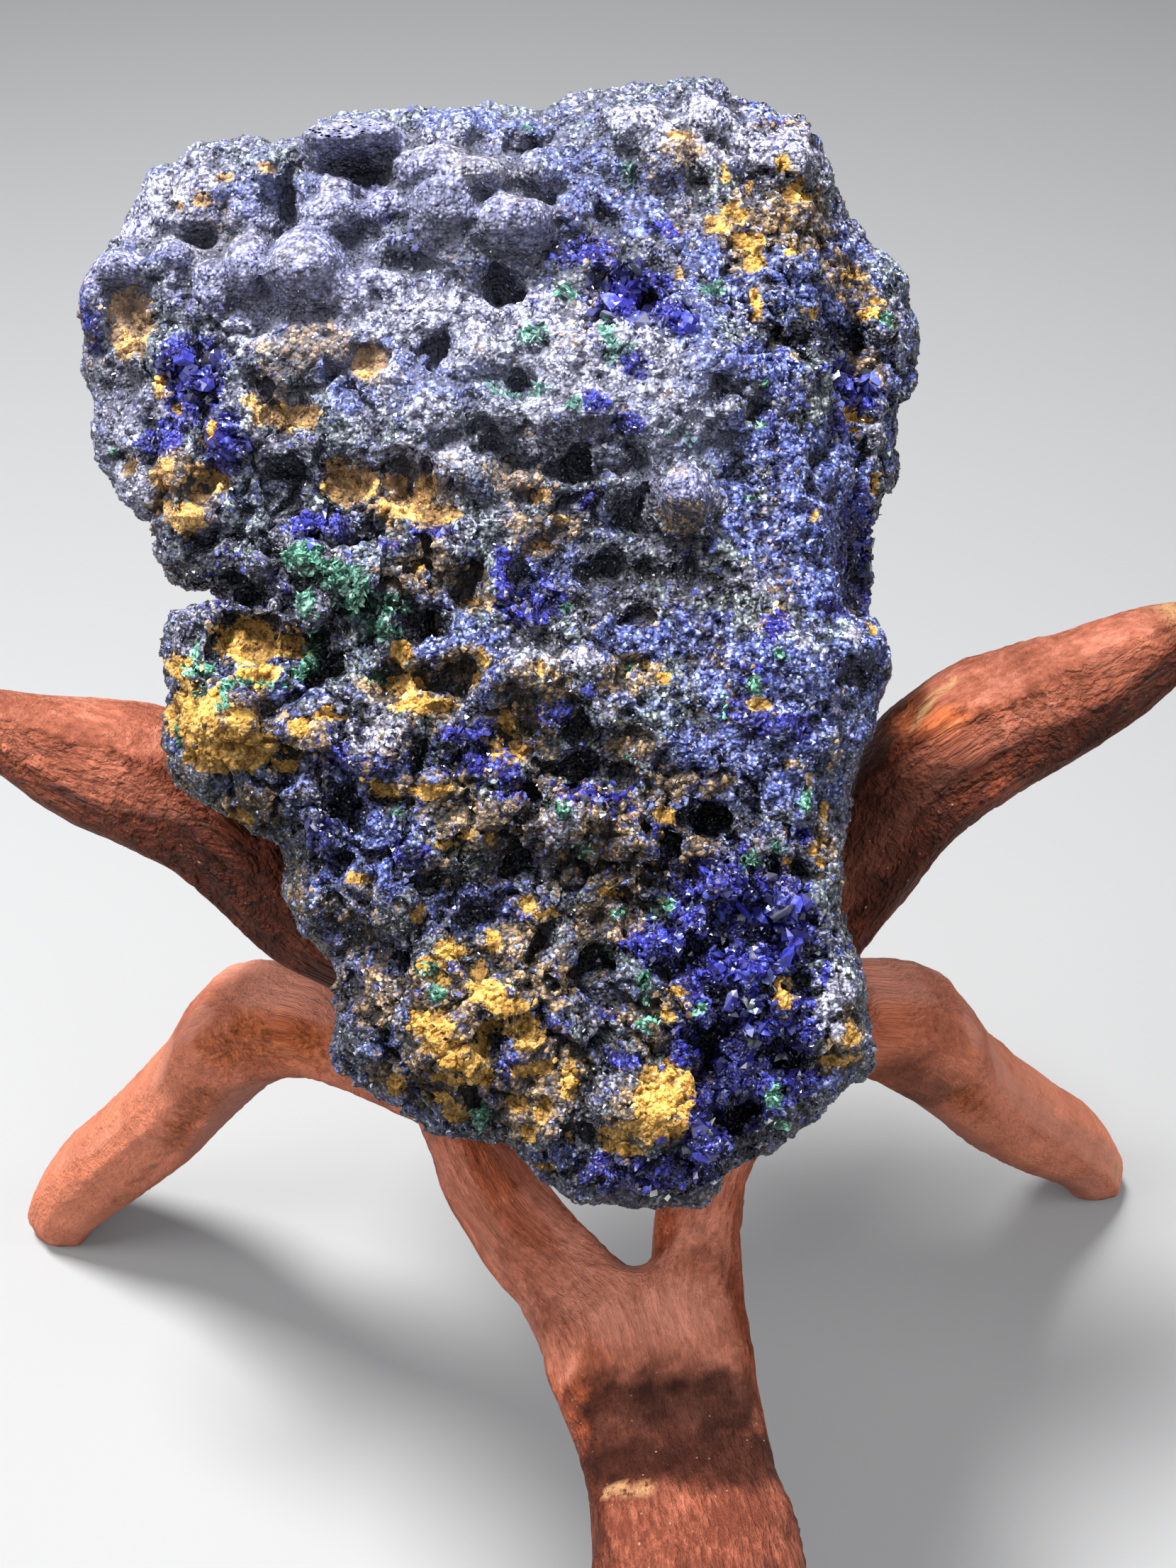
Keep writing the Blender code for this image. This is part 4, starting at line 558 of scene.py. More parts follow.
def work_block(obj):
    """The lumps, hollows and coarse roughness that the solid has."""
    even_out(obj, BLOCK_VOXEL)
    points = shape_block(points_of(obj.data))
    set_points(obj.data, points)
    normals = normals_of(obj.data)
    coarse = fractal(points, COARSE_MM, 3)
    middle = fractal(points + 40.0, MIDDLE_MM, 3)
    ragged = np.abs(fractal(points - 70.0, 2 * MIDDLE_MM, 2))
    even = 1 - 0.8 * in_spots(points, SMOOTH, 0.6, 7)
    moved = points + normals * (1.5 * coarse + even * (0.5 * middle - 1.3 * ragged))[:, None]
    moved[:, 2] += relief(points) * facing_of(normals)
    set_points(obj.data, moved)
    even_out(obj, FINE_VOXEL)


def in_spots(points, spots, ragged, seed):
    """How far inside the spots each point lies, 0 to 1, with ragged edges."""
    u = points[:, 0] + ragged * value_noise(points, 2.2, 50 + seed, 2)
    v = points[:, 1] + ragged * value_noise(points, 2.2, 60 + seed, 2)
    inside = np.zeros(len(points))
    for cu, cv, wide, tall in spots:
        reach = np.hypot((u - cu) / wide, (v - cv) / tall)
        inside = np.maximum(inside, smooth_step((1.35 - reach) / 0.7))
    return inside


def front_of(points):
    """1 on the face that the photograph shows, 0 on the flanks and the back."""
    return smooth_step((points[:, 2] + FLANK_DEPTH) / FLANK_BLEND)


def covering(points):
    """What covers the ore at each point, its dark patches partly painted shade and its pale blue-grey overlay
    partly painted light. Behind, the same minerals lie in patches of their own.
    """
    front = front_of(points)
    back = 1 - front
    drift = value_noise(points, 26.0, 3, 3)
    patchy = value_noise(points, 11.0, 7, 3)
    faceted = in_spots(points, FACETED, 0.8, 9)
    blue = np.maximum.reduce([0.95 * in_spots(points, VIVID, 0.8, 3), 0.8 * faceted, 0.1 + 0.25 * patchy])
    low = smooth_step((20 - points[:, 1]) / 20) * (1 - smooth_step((points[:, 0] - 6) / 8))
    # A pale blue-grey overlay over the upper face, thicker towards the top: partly dust, partly painted light
    # from above
    hazy_and_lit = smooth_step((points[:, 1] - 12) / 45) * smooth_step((22 - points[:, 0]) / 22)
    hazy_and_lit = np.maximum(hazy_and_lit, 1.35 * in_spots(points, HAZE_AND_LIGHT, 2.0, 12))
    tan = 0.15 + 0.24 * value_noise(points, 7.0, 27, 3) + 0.14 * low
    brown = np.maximum(0.62 * in_spots(points, BROWN, 1.2, 2), tan)
    green_behind = smooth_step((value_noise(points, 14.0, 19, 3) - 0.7) / 0.2)
    return {
        "ochre": in_spots(points, OCHRE, 0.5, 1) * front
        + back * smooth_step((patchy + 0.35 * drift - 0.62) / 0.3),
        "brown": brown * front + 0.6 * back * smooth_step((drift + 0.15) / 0.5),
        "vivid": blue * front + 0.7 * back * smooth_step((0.1 - drift) / 0.5),
        "dusty": np.maximum(0.8 * in_spots(points, DUSTY, 2.0, 10), 0.35 - 0.4 * patchy),
        "pale": 0.7 * in_spots(points, PALE, 1.2, 4) * front
        + 0.6 * back * smooth_step((-patchy - 0.35) / 0.4),
        "malachite": in_spots(points, MALACHITE, 0.35, 5) * front + back * green_behind,
        "red": in_spots(points, RED, 0.4, 8) * front,
        # Dark patches and a darker lower left: partly dark ground, partly painted shade
        "dark": np.maximum(in_spots(points, DARK_AND_SHADED_SPOTS, 1.2, 6), 0.36 * low) * front,
        "dust_and_light_veil": 0.23 * hazy_and_lit * (1 - blue) * front,
        "smooth": in_spots(points, SMOOTH, 0.6, 7) * front,
        "ragged": in_spots(points, RAGGED, 1.5, 11) * front + back,
        "faceted": faceted * front,
    }


def facets(points, size, seed):
    """Flat faces that lean every way, and how near their edges are."""
    nearest, second, number, way = cells(points, size, seed)
    lean = np.stack([np.cos(50 * number), np.sin(50 * number)], axis=1)
    return number - 0.5, (way[:, :2] * lean).sum(axis=1), second - nearest


def domes(points, size, seed):
    return np.sqrt(np.clip(0.85 - cells(points, size, seed)[0] ** 2, 0, 1)) - 0.5


def sway(points, size, seed):
    """Noise in all three directions."""
    return np.stack([value_noise(points, size, seed + 5 * k, 2) for k in range(3)], axis=1)


def fine_relief(points, normals, cover):
    """Chunks, crystal faces, knobs and pits that are too fine for the solid."""
    bent = points + 0.9 * sway(points, 4.0, 130)
    firm = 1 - 0.94 * cover["smooth"]
    rough = (0.1 + 0.9 * cover["ragged"]) * firm * (1 - 0.5 * cover["ochre"])
    step, plane, edge = facets(bent, CHUNK, 11)
    out = rough * (step + 1.4 * plane - (1 - smooth_step(edge / 0.12)))
    step, plane, edge = facets(bent, FACE, 15)
    keen = firm * (0.12 + 0.88 * cover["faceted"])
    out += keen * (0.8 * step + 1.7 * plane) - 0.3 * rough * (1 - smooth_step(edge / 0.25))
    out += 0.4 * (0.3 + 0.7 * rough) * firm * (1 - cover["faceted"]) * domes(bent, KNOB, 21)
    out += 0.7 * firm * domes(bent, BEAD, 25) + (0.2 + 0.15 * firm) * domes(points + 9.0, SUGAR, 31)
    crag = value_noise(points, 2.6, 37, 3)
    out += firm * (0.4 * crag - 0.5 * np.abs(value_noise(bent, 1.9, 43, 2)))
    out -= 1.5 * rough * np.clip(-0.5 - value_noise(bent, 3.0, 41, 3), 0, 1)
    out -= 0.5 * cover["ochre"] + 0.4 * cover["dark"]
    return points + normals * out[:, None]


def calmed(mesh, values, rounds):
    """Each point's value averaged with its neighbours', this many times over."""
    pairs = np.empty(len(mesh.edges) * 2, np.int32)
    mesh.edges.foreach_get("vertices", pairs)
    pairs = pairs.reshape(-1, 2)
    ends, others = np.concatenate([pairs, pairs[:, ::-1]]).T
    share = np.maximum(np.bincount(ends, minlength=len(values)), 1)
    for _ in range(rounds):
        sums = [np.bincount(ends, values[others, k], len(values)) for k in range(3)]
        values = np.stack(sums, axis=1) / share[:, None]
    return values


def sunken(mesh, rounds):
    """How far each point lies below its surroundings, in millimetres. It is negative where it stands out."""
    points = points_of(mesh)
    return ((calmed(mesh, points, rounds) - points) * normals_of(mesh)).sum(axis=1)


def facing_up(mesh):
    """How much each part looks up as it lies in the stand: 0.7 on a flat face. The materials paint light where
    it looks up and shade where it looks down.
    """
    lean = math.radians(ROCK_LEAN_DEG)
    up = calmed(mesh, normals_of(mesh), 10) @ (0.0, math.sin(lean), math.cos(lean))
    front = front_of(points_of(mesh))
    return up * front + 0.75 * (1 - front)


def clear_of_stand(points):
    """Moves what would lie in the stand's arms out to their surface."""
    place = rock_frame()
    back = place.inverted()
    for name in MEMBERS:
        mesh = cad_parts[name].data
        tree = BVHTree.FromPolygons([v.co for v in mesh.vertices], [p.vertices for p in mesh.polygons])
        low, high = (np.array(c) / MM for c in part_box(name))
        world = (points @ np.array(place.to_3x3()).T + np.array(place.translation)) / MM
        near = np.flatnonzero(((world > low - 1) & (world < high + 1)).all(axis=1))
        for k in near:
            spot = Vector(world[k] * MM)
            hit, normal, _, _ = tree.find_nearest(spot, 0.010)
            if hit is None:
                continue
            gap = (spot - hit).dot(normal)
            if (spot - hit).length < REST_GAP * MM or gap < 0:
                points[k] = back @ (hit + normal * REST_GAP * MM)
    return points


def thin_out(obj, triangles):
    """Thins the back and flanks, which need fewer facets than the face."""
    group = obj.vertex_groups.new(name="thin")
    front = front_of(points_of(obj.data))
    for level in range(6):
        chosen = np.flatnonzero(np.round((1 - 0.8 * front) * 5) == level)
        group.add(chosen.tolist(), level / 5, "REPLACE")
    thin = obj.modifiers.new("Facets", "DECIMATE")
    thin.vertex_group = group.name
    thin.vertex_group_factor = 1.0
    thin.ratio = triangles / (2 * len(obj.data.polygons))
    settle(obj)


def rock_frame():
    """Takes the ore's own u, v, w in millimetres to where it lies in the stand, in metres."""
    lean = Matrix.Rotation(math.radians(ROCK_LEAN_DEG), 4, "X")
    return Matrix.Translation(Vector(ROCK_CENTRE) * MM) @ lean @ Matrix.Scale(MM, 4)


def place_in_stand(obj, top):
    """Puts a piece of the ore where it lies, no higher than the solid's top."""
    obj.data.transform(rock_frame())
    points = points_of(obj.data)
    points[:, 2] = np.minimum(points[:, 2], top - TOP_MARGIN * MM)
    set_points(obj.data, points)


# Grains that stand on the ore

def bipyramid():
    points = np.array([(0, 0, -1), (1, 0, 0), (0, 1, 0.1), (-1, 0.1, 0), (0.1, -1, -0.1), (0, 0, 1)], float)
    faces = [(0, 2, 1), (0, 3, 2), (0, 4, 3), (0, 1, 4), (5, 1, 2), (5, 2, 3), (5, 3, 4), (5, 4, 1)]
    return points, np.array(faces)


def blade():
    """A four-sided crystal with a chisel tip."""
    points = np.array([
        (0.9, 0, -1), (0, 0.5, -1), (-0.9, 0, -1), (0, -0.5, -1),
        (1, 0, 0.4), (0, 0.6, 0.45), (-1, 0, 0.35), (0, -0.6, 0.4), (0.45, 0, 1), (-0.4, 0, 0.9),
    ], float)
    faces = [(0, 3, 2), (0, 2, 1)]
    for k in range(4):
        n = (k + 1) % 4
        faces += [(k, n, n + 4), (k, n + 4, k + 4)]
    faces += [(4, 5, 8), (5, 9, 8), (5, 6, 9), (6, 7, 9), (7, 8, 9), (7, 4, 8)]
    return points, np.array(faces)


def crumb_shape():
    """A rough lump with twenty facets."""
    bm = bmesh.new()
    bmesh.ops.create_icosphere(bm, subdivisions=1, radius=1.0)
    points = np.array([v.co for v in bm.verts])
    faces = np.array([[v.index for v in f.verts] for f in bm.faces])
    bm.free()
    squeeze = 0.75 + 0.5 * hashed(points * 10, 3)
    return points * squeeze[:, None], faces


def scatter(surface, weight, count, rng):
    """Picks places on the surface, more of them where the weight is higher."""
    points, normals, triangles = surface
    a, b, c = (points[triangles[:, k]] for k in range(3))
    area = np.linalg.norm(np.cross(b - a, c - a), axis=1)
    chance = area * np.maximum(weight[triangles].mean(axis=1), 0.0)
    picked = rng.choice(len(triangles), count, p=chance / chance.sum())
    s, t = rng.random((2, count))
    over = s + t > 1
    s, t = np.where(over, 1 - s, s)[:, None], np.where(over, 1 - t, t)[:, None]
    places = a[picked] + (b - a)[picked] * s + (c - a)[picked] * t
    owners = triangles[picked, 0]
    return places, unit(normals[triangles[picked]].mean(axis=1)), owners


def joined(name, points, faces):
    """One mesh of many copies of a shape: points holds the corners of each."""
    count, corners, _ = points.shape
    corner_ids = (faces[None] + (np.arange(count) * corners)[:, None, None]).reshape(-1)
    mesh = bpy.data.meshes.new(name)
    mesh.vertices.add(count * corners)
    mesh.loops.add(len(corner_ids))
    mesh.polygons.add(len(corner_ids) // 3)
    mesh.vertices.foreach_set("co", points.ravel())
    mesh.loops.foreach_set("vertex_index", corner_ids.astype(np.int32))
    mesh.polygons.foreach_set("loop_start", np.arange(0, len(corner_ids), 3, dtype=np.int32))
    mesh.update(calc_edges=True)
    mesh.shade_flat()
    return mesh


def grow(name, shape, spots, size, lean, cover, rng):
    """A grain at each spot: size is across, through and along, lean is the tilt.

    Each takes one mineral of those that cover the ore where it stands.
    """
    places, normals, owners = spots
    corners, faces = shape
    count = len(places)
    along = unit(normals + lean * rng.normal(size=(count, 3)))
    across = unit(np.cross(along, rng.normal(size=(count, 3))))
    through = np.cross(along, across)
    uneven = 1 + 0.16 * rng.normal(size=(count, len(corners), 3))
    local = corners[None] * size[:, None, :] * uneven
    points = places[:, None] + sum(
        local[:, :, k, None] * axis[:, None, :] for k, axis in enumerate((across, through, along))
    )
    mesh = joined(name, points, faces)
    each = {"tint": rng.random(count)}
    for mineral in ("ochre", "brown", "vivid", "dusty", "pale"):
        each[mineral] = cover[mineral][owners] > rng.random(count)
    # Each grain takes the dark patches, painted shade, painted light and pale overlay of the ore where it
    # stands
    for look in ("dark", "sunken", "smooth", "up", "dust_and_light_veil"):
        each[look] = cover[look][owners]
    for key, values in each.items():
        set_values(mesh, key, np.repeat(values, len(corners)))
    return new_object(name, mesh)


def strewn(name, shape, surface, cover, weight, grains, tall, sunk, lean, rng):
    """Grains all over, most of them small. Sunk is the part of a grain's width that is in the ground."""
    count, low, high = grains
    places, normals, owners = scatter(surface, weight, count, rng)
    width = low + (high - low) * rng.random(count) ** 2
    size = np.stack([width, width * 0.85, width * tall], axis=1)
    places = places - sunk[owners, None] * size[:, :1] * normals
    return grow(name, shape, (places, normals, owners), size, lean, cover, rng)


def crystal_beds(surface, cover, rng):
    """The larger bladed crystals."""
    points = surface[0]
    every = []
    for cu, cv, reach, count, longest in CRYSTAL_BEDS:
        near = np.clip(1 - np.hypot(points[:, 0] - cu, points[:, 1] - cv) / reach, 0, 1) * front_of(points)
        spots = scatter(surface, near, count, rng)
        width = longest * (0.25 + 0.3 * rng.random(count))
        size = np.stack([width, 0.8 * width, longest * (0.3 + 0.35 * rng.random(count))], axis=1)
        every.append((*spots, size))
    *spots, size = (np.concatenate(part) for part in zip(*every))
    cover = dict(cover)
    cover["pale"] = 0.1 * cover["pale"]
    cover["vivid"] = np.maximum(cover["vivid"], 0.75)
    # The crystals get less of the painted light on what faces up
    cover["up"] = 0.6 * cover["up"]
    return grow("azurite_crystals", blade(), spots, size, 0.8, cover, rng)


def tufts(surface, cover, count, rng):
    """Malachite as small leaning blades."""
    spots = scatter(surface, cover["malachite"] ** 2, count, rng)
    width = 0.16 + 0.24 * rng.random(count)
    size = np.stack([width, 0.6 * width, 0.3 + 0.35 * rng.random(count)], axis=1)
    return grow("malachite_tufts", blade(), spots, size, 0.7, cover, rng)


# Materials

# Colours along a tone from dark to light: each stop is its place and its red, green and blue
TONES = {
    "slate": [(0.22, 0.004, 0.004, 0.007), (0.38, 0.022, 0.022, 0.034), (0.52, 0.085, 0.085, 0.125),
              (0.66, 0.20, 0.195, 0.255), (0.80, 0.44, 0.425, 0.48)],
    "green slate": [(0.22, 0.004, 0.005, 0.006), (0.38, 0.020, 0.026, 0.030), (0.52, 0.080, 0.098, 0.112),
                    (0.66, 0.21, 0.24, 0.25), (0.80, 0.50, 0.52, 0.50)],
    "deep blue": [(0.22, 0.002, 0.0015, 0.012), (0.38, 0.006, 0.005, 0.065), (0.54, 0.017, 0.016, 0.19),
                  (0.68, 0.050, 0.060, 0.38), (0.82, 0.22, 0.25, 0.66)],
    "dusty blue": [(0.22, 0.003, 0.004, 0.016), (0.38, 0.015, 0.020, 0.095), (0.53, 0.055, 0.075, 0.26),
                   (0.67, 0.17, 0.205, 0.45), (0.82, 0.50, 0.53, 0.72)],
    "crust": [(0.22, 0.040, 0.038, 0.055), (0.38, 0.135, 0.13, 0.175), (0.53, 0.27, 0.27, 0.37),
              (0.78, 0.52, 0.52, 0.65)],
    "violet": [(0.24, 0.022, 0.022, 0.055), (0.40, 0.080, 0.080, 0.165), (0.54, 0.165, 0.165, 0.31),
               (0.67, 0.27, 0.27, 0.46), (0.80, 0.50, 0.50, 0.68)],
    "grey": [(0.24, 0.024, 0.022, 0.030), (0.40, 0.090, 0.084, 0.105), (0.54, 0.175, 0.165, 0.20),
             (0.67, 0.28, 0.265, 0.31), (0.80, 0.52, 0.50, 0.55)],
    "brown": [(0.28, 0.009, 0.007, 0.006), (0.40, 0.050, 0.034, 0.020), (0.51, 0.155, 0.10, 0.055),
              (0.62, 0.30, 0.20, 0.115), (0.76, 0.50, 0.38, 0.25)],
    "yellow": [(0.31, 0.070, 0.034, 0.010), (0.41, 0.27, 0.13, 0.024), (0.51, 0.45, 0.245, 0.050),
               (0.66, 0.55, 0.35, 0.12)],
    "green": [(0.25, 0.003, 0.014, 0.010), (0.41, 0.014, 0.064, 0.044), (0.56, 0.065, 0.21, 0.14),
              (0.74, 0.36, 0.58, 0.45)],
    "stain": [(0.36, 0.06, 0.013, 0.006), (0.46, 0.11, 0.023, 0.009), (0.54, 0.17, 0.037, 0.014),
              (0.64, 0.34, 0.078, 0.032), (0.80, 0.78, 0.25, 0.135)],
    "salmon": [(0.38, 0.19, 0.048, 0.026), (0.52, 0.42, 0.13, 0.075), (0.70, 0.72, 0.29, 0.20)],
    "orange": [(0.35, 0.16, 0.032, 0.010), (0.50, 0.44, 0.105, 0.032), (0.64, 0.68, 0.22, 0.085)],
}
# The pale blue-grey overlay: partly dust, partly painted light
DUST_AND_LIGHT_VEIL = (0.25, 0.265, 0.38, 1)
GLINT = (0.66, 0.68, 0.80, 1)
# Painted shade on the stand's undersides
SHADED_UNDERSIDE = (0.20, 0.046, 0.021, 1)
# A dark stain, also used as painted shade where the arms meet the ore
SOAKED_AND_SHADED = (0.026, 0.005, 0.002, 1)
# Bare wood, also used as a painted highlight at the left member's elbow
BARE_WOOD_AND_HIGHLIGHT = (0.48, 0.25, 0.115, 1)
SPECK = (0.60, 0.38, 0.28, 1)

# How each mineral breaks up at its edge: the noise, the random number, where it begins and where it is full
EDGES = {
    "vivid": ("coarse", 0, 0.42, 0.58), "pale": ("fine", 1, 0.42, 0.58), "dusty": ("coarse", 1, 0.35, 0.65),
    "brown": ("fine", 1, 0.42, 0.58), "ochre": ("coarse", 2, 0.46, 0.58), "malachite": ("fine", 0, 0.4, 0.55),
    "red": ("fine", 0, 0.5, 0.6),
}


def node(tree, kind, inputs=None, **settings):
    """Adds a node. An input is a value or the socket that feeds it."""
    made = tree.nodes.new(kind)
    for key, value in settings.items():
        setattr(made, key, value)
    for key, value in (inputs or {}).items():
        if isinstance(value, bpy.types.NodeSocket):
            tree.links.new(value, made.inputs[key])
        else:
            made.inputs[key].default_value = value
    return made


def new_material(name, plain):
    """A material with the settings that are the same all over it."""
    made = bpy.data.materials.new(name)
    made.use_nodes = True
    shader = made.node_tree.nodes["Principled BSDF"]
    for key, value in plain.items():
        shader.inputs[key].default_value = value
    return made, made.node_tree, shader


def stored(tree, name, kind="Fac"):
    return node(tree, "ShaderNodeAttribute", attribute_name=name).outputs[kind]


def in_millimetres(tree):
    """The object's own coordinates, in millimetres."""
    return scaled(tree, node(tree, "ShaderNodeTexCoord").outputs["Object"], 1 / MM)


def cloud(tree, where, size, detail, roughness):
    """Noise from 0 to 1 with features about size across."""
    made = node(tree, "ShaderNodeTexNoise", {
        "Vector": where, "Scale": 1 / size, "Detail": detail, "Roughness": roughness,
    })
    return made.outputs["Fac"]


def ramp(tree, value, name):
    """The named colours along a value."""
    stops = TONES[name]
    made = node(tree, "ShaderNodeValToRGB", {"Fac": value})
    points = made.color_ramp.elements
    while len(points) < len(stops):
        points.new(1.0)
    for point, (place, *colour) in zip(points, stops):
        point.position = place
        point.color = (*colour, 1.0)
    return made.outputs["Color"]


def calc(tree, operation, a, b):
    return node(tree, "ShaderNodeMath", {0: a, 1: b}, operation=operation).outputs[0]


def plus(tree, a, b):
    return calc(tree, "ADD", a, b)


def less(tree, a, b):
    return calc(tree, "SUBTRACT", a, b)


def times(tree, a, b):
    return calc(tree, "MULTIPLY", a, b)


def higher(tree, a, b):
    return calc(tree, "MAXIMUM", a, b)


def blend(tree, a, share, b):
    """Both together: a by its share, b by the rest."""
    return plus(tree, times(tree, a, share), times(tree, b, 1 - share))


def mixed(tree, share, a, b):
    """From colour a to colour b by the share."""
    return node(tree, "ShaderNodeMix", {0: share, 6: a, 7: b}, data_type="RGBA").outputs[2]


def spread(tree, value, low, high, to_low=0.0, to_high=1.0):
    """Stretches low..high to to_low..to_high, clamped."""
    return node(tree, "ShaderNodeMapRange", {
        "Value": value, "From Min": low, "From Max": high, "To Min": to_low, "To Max": to_high,
    }, interpolation_type="SMOOTHSTEP").outputs["Result"]


def scaled(tree, vector, factor):
    return node(tree, "ShaderNodeVectorMath", {0: vector, "Scale": factor}, operation="SCALE").outputs[0]


def vectors(tree, operation, a, b=(0, 0, 0)):
    return node(tree, "ShaderNodeVectorMath", {0: a, 1: b}, operation=operation).outputs[0]


def bumped(tree, shader, height, depth, strength, facing=None):
    """Gives the material its finest relief. Depth is in metres, facing is the normal before it."""
    inputs = {"Height": height, "Distance": depth, "Strength": strength}
    if facing is not None:
        inputs["Normal"] = facing
    bump = node(tree, "ShaderNodeBump", inputs)
    tree.links.new(bump.outputs[0], shader.inputs["Normal"])


def crystal_cells(tree, where, size):
    """Cells the size of one crystal: how far from the middle, a random way and three random numbers."""
    cell = node(tree, "ShaderNodeTexVoronoi", {"Vector": where, "Scale": 1 / size, "Randomness": 1.0})
    lots = node(tree, "ShaderNodeSeparateColor", {0: cell.outputs["Color"]}).outputs
    return cell.outputs["Distance"], cell.outputs["Color"], lots


def chosen(tree, mask, cloudy, lot, low, high):
    """Where a mineral shows: its mask, broken up by noise and crystal by crystal."""
    nudge = times(tree, less(tree, cloudy, 0.5), 1.6)
    nudge = plus(tree, nudge, times(tree, less(tree, lot, 0.5), 0.3))
    return spread(tree, plus(tree, mask, nudge), low, high)


def faceted_normal(tree, turn, strength):
    """Turns each small cell of the surface its own way, as crystal faces lie."""
    turn = scaled(tree, vectors(tree, "SUBTRACT", turn, (0.5, 0.5, 0.5)), strength)
    base = node(tree, "ShaderNodeNewGeometry").outputs["Normal"]
    return vectors(tree, "NORMALIZE", vectors(tree, "ADD", base, turn))


def azurite_colour(tree, where, lot, is_vivid, is_dusty, is_pale):
    """Slate, lighter blue where it is dusty, grey-white where it is crusted and deep blue where it is fresh."""
    tone = blend(tree, cloud(tree, where, 0.9, 5.0, 0.7), 0.58, lot)
    greener = spread(tree, cloud(tree, where, 7.0, 3.0, 0.6), 0.44, 0.6)
    colour = mixed(tree, greener, ramp(tree, tone, "slate"), ramp(tree, tone, "green slate"))
    for share, name in ((is_dusty, "dusty blue"), (is_pale, "crust"), (is_vivid, "deep blue")):
        colour = mixed(tree, share, colour, ramp(tree, tone, name))
    return colour


def velvet_colour(tree, where, lot):
    """The even grey-violet velvet of the grape-like lumps, greyer here and there, each grain its own tone."""
    tone = blend(tree, cloud(tree, where, 0.8, 4.0, 0.65), 0.66, lot)
    greyer = spread(tree, cloud(tree, where, 9.0, 4.0, 0.65), 0.46, 0.6)
    return mixed(tree, greyer, ramp(tree, tone, "violet"), ramp(tree, tone, "grey"))


def earth_colours(tree, where, lot):
    """Limonite's brown crust and its bright yellow earth."""
    grain = blend(tree, cloud(tree, where, 1.3, 7.0, 0.72), 0.72, lot)
    tone = blend(tree, grain, 0.75, cloud(tree, where, 4.0, 4.0, 0.6))
    return ramp(tree, grain, "brown"), ramp(tree, tone, "yellow")


def green_colour(tree, where, lot):
    return ramp(tree, blend(tree, cloud(tree, where, 0.9, 5.0, 0.7), 0.7, lot), "green")


def shaded(tree, colour, least=0.0):
    """Paints shade on what lies deep and on the dark patches, paints light on what stands out or faces up, then
    lays on the pale blue-grey overlay.
    """
    # Painted shade in recesses, painted light on what stands out
    light = spread(tree, stored(tree, "sunken"), -0.5, 0.95, 1.5, 0.2)
    # Painted light on what faces up, painted shade on what faces down
    light = times(tree, light, spread(tree, stored(tree, "up"), 0.1, 0.95, 0.55, 1.6))
    # The dark patches, partly painted shade
    dark = less(tree, 1.0, times(tree, stored(tree, "dark"), 0.55))
    colour = scaled(tree, colour, higher(tree, times(tree, light, dark), least))
    return mixed(tree, stored(tree, "dust_and_light_veil"), colour, DUST_AND_LIGHT_VEIL)


def ore_material():
    """The ore's own skin, all its minerals together, with painted shade in its gaps and recesses and painted
    light where it faces up.
    """
    made, tree, shader = new_material("azurite_ore", {"Specular IOR Level": 0.4})
    where = in_millimetres(tree)
    distance, turn, lots = crystal_cells(tree, where, 0.46)
    clouds = {"coarse": cloud(tree, where, 2.2, 6.0, 0.75), "fine": cloud(tree, where, 1.3, 6.0, 0.76)}
    shows = {
        name: chosen(tree, stored(tree, name), clouds[cloudy], lots[lot], low, high)
        for name, (cloudy, lot, low, high) in EDGES.items()
    }
    brown, yellow = earth_colours(tree, where, lots[0])
    colour = azurite_colour(tree, where, lots[2], shows["vivid"], shows["dusty"], shows["pale"])
    colour = mixed(tree, stored(tree, "smooth"), colour, velvet_colour(tree, where, lots[2]))
    colour = mixed(tree, shows["brown"], colour, brown)
    colour = mixed(tree, shows["ochre"], colour, yellow)
    colour = mixed(tree, shows["malachite"], colour, green_colour(tree, where, lots[1]))
    colour = mixed(tree, shows["red"], colour, scaled(tree, brown, 1.6))
    pebbles = crystal_cells(tree, where, 1.1)[0]
    # Painted shade in the gaps between grains and between pebbles, kept off the ochre
    between = spread(tree, distance, 0.3, 0.75, 1.12, 0.5)
    between = times(tree, between, spread(tree, pebbles, 0.3, 0.8, 1.15, 0.4))
    colour = scaled(tree, colour, higher(tree, between, times(tree, shows["ochre"], 0.85)))
    # Painted shade and light, the ochre keeping more of its colour in the recesses
    colour = shaded(tree, colour, times(tree, shows["ochre"], 0.65))
    earthy = higher(tree, shows["brown"], shows["ochre"])
    glint = times(tree, spread(tree, lots[1], 0.93, 0.95), spread(tree, distance, 0.2, 0.34, 1.0, 0.0))
    glint = times(tree, glint, less(tree, 0.6, times(tree, earthy, 0.6)))
    tree.links.new(mixed(tree, glint, colour, GLINT), shader.inputs["Base Color"])
    tree.links.new(spread(tree, earthy, 0.0, 1.0, 0.3, 0.9), shader.inputs["Roughness"])
    height = less(tree, times(tree, cloud(tree, where, 0.8, 6.0, 0.7), 0.8), distance)
    height = less(tree, height, times(tree, pebbles, 1.5))
    facing = faceted_normal(tree, turn, spread(tree, earthy, 0.0, 1.0, 0.7, 0.25))
    bumped(tree, shader, height, 0.0005, 0.9, facing)
    return made


def azurite_material():
    """Loose azurite grains and crystals: clean flat faces."""
    made, tree, shader = new_material("azurite_crystal", {"Roughness": 0.25, "Specular IOR Level": 0.7})
    where = in_millimetres(tree)
    tint = stored(tree, "tint")
    masks = [stored(tree, name) for name in ("vivid", "dusty", "pale")]
    colour = azurite_colour(tree, where, tint, *masks)
    colour = mixed(tree, stored(tree, "smooth"), colour, velvet_colour(tree, where, tint))
    tree.links.new(shaded(tree, colour), shader.inputs["Base Color"])
    return made


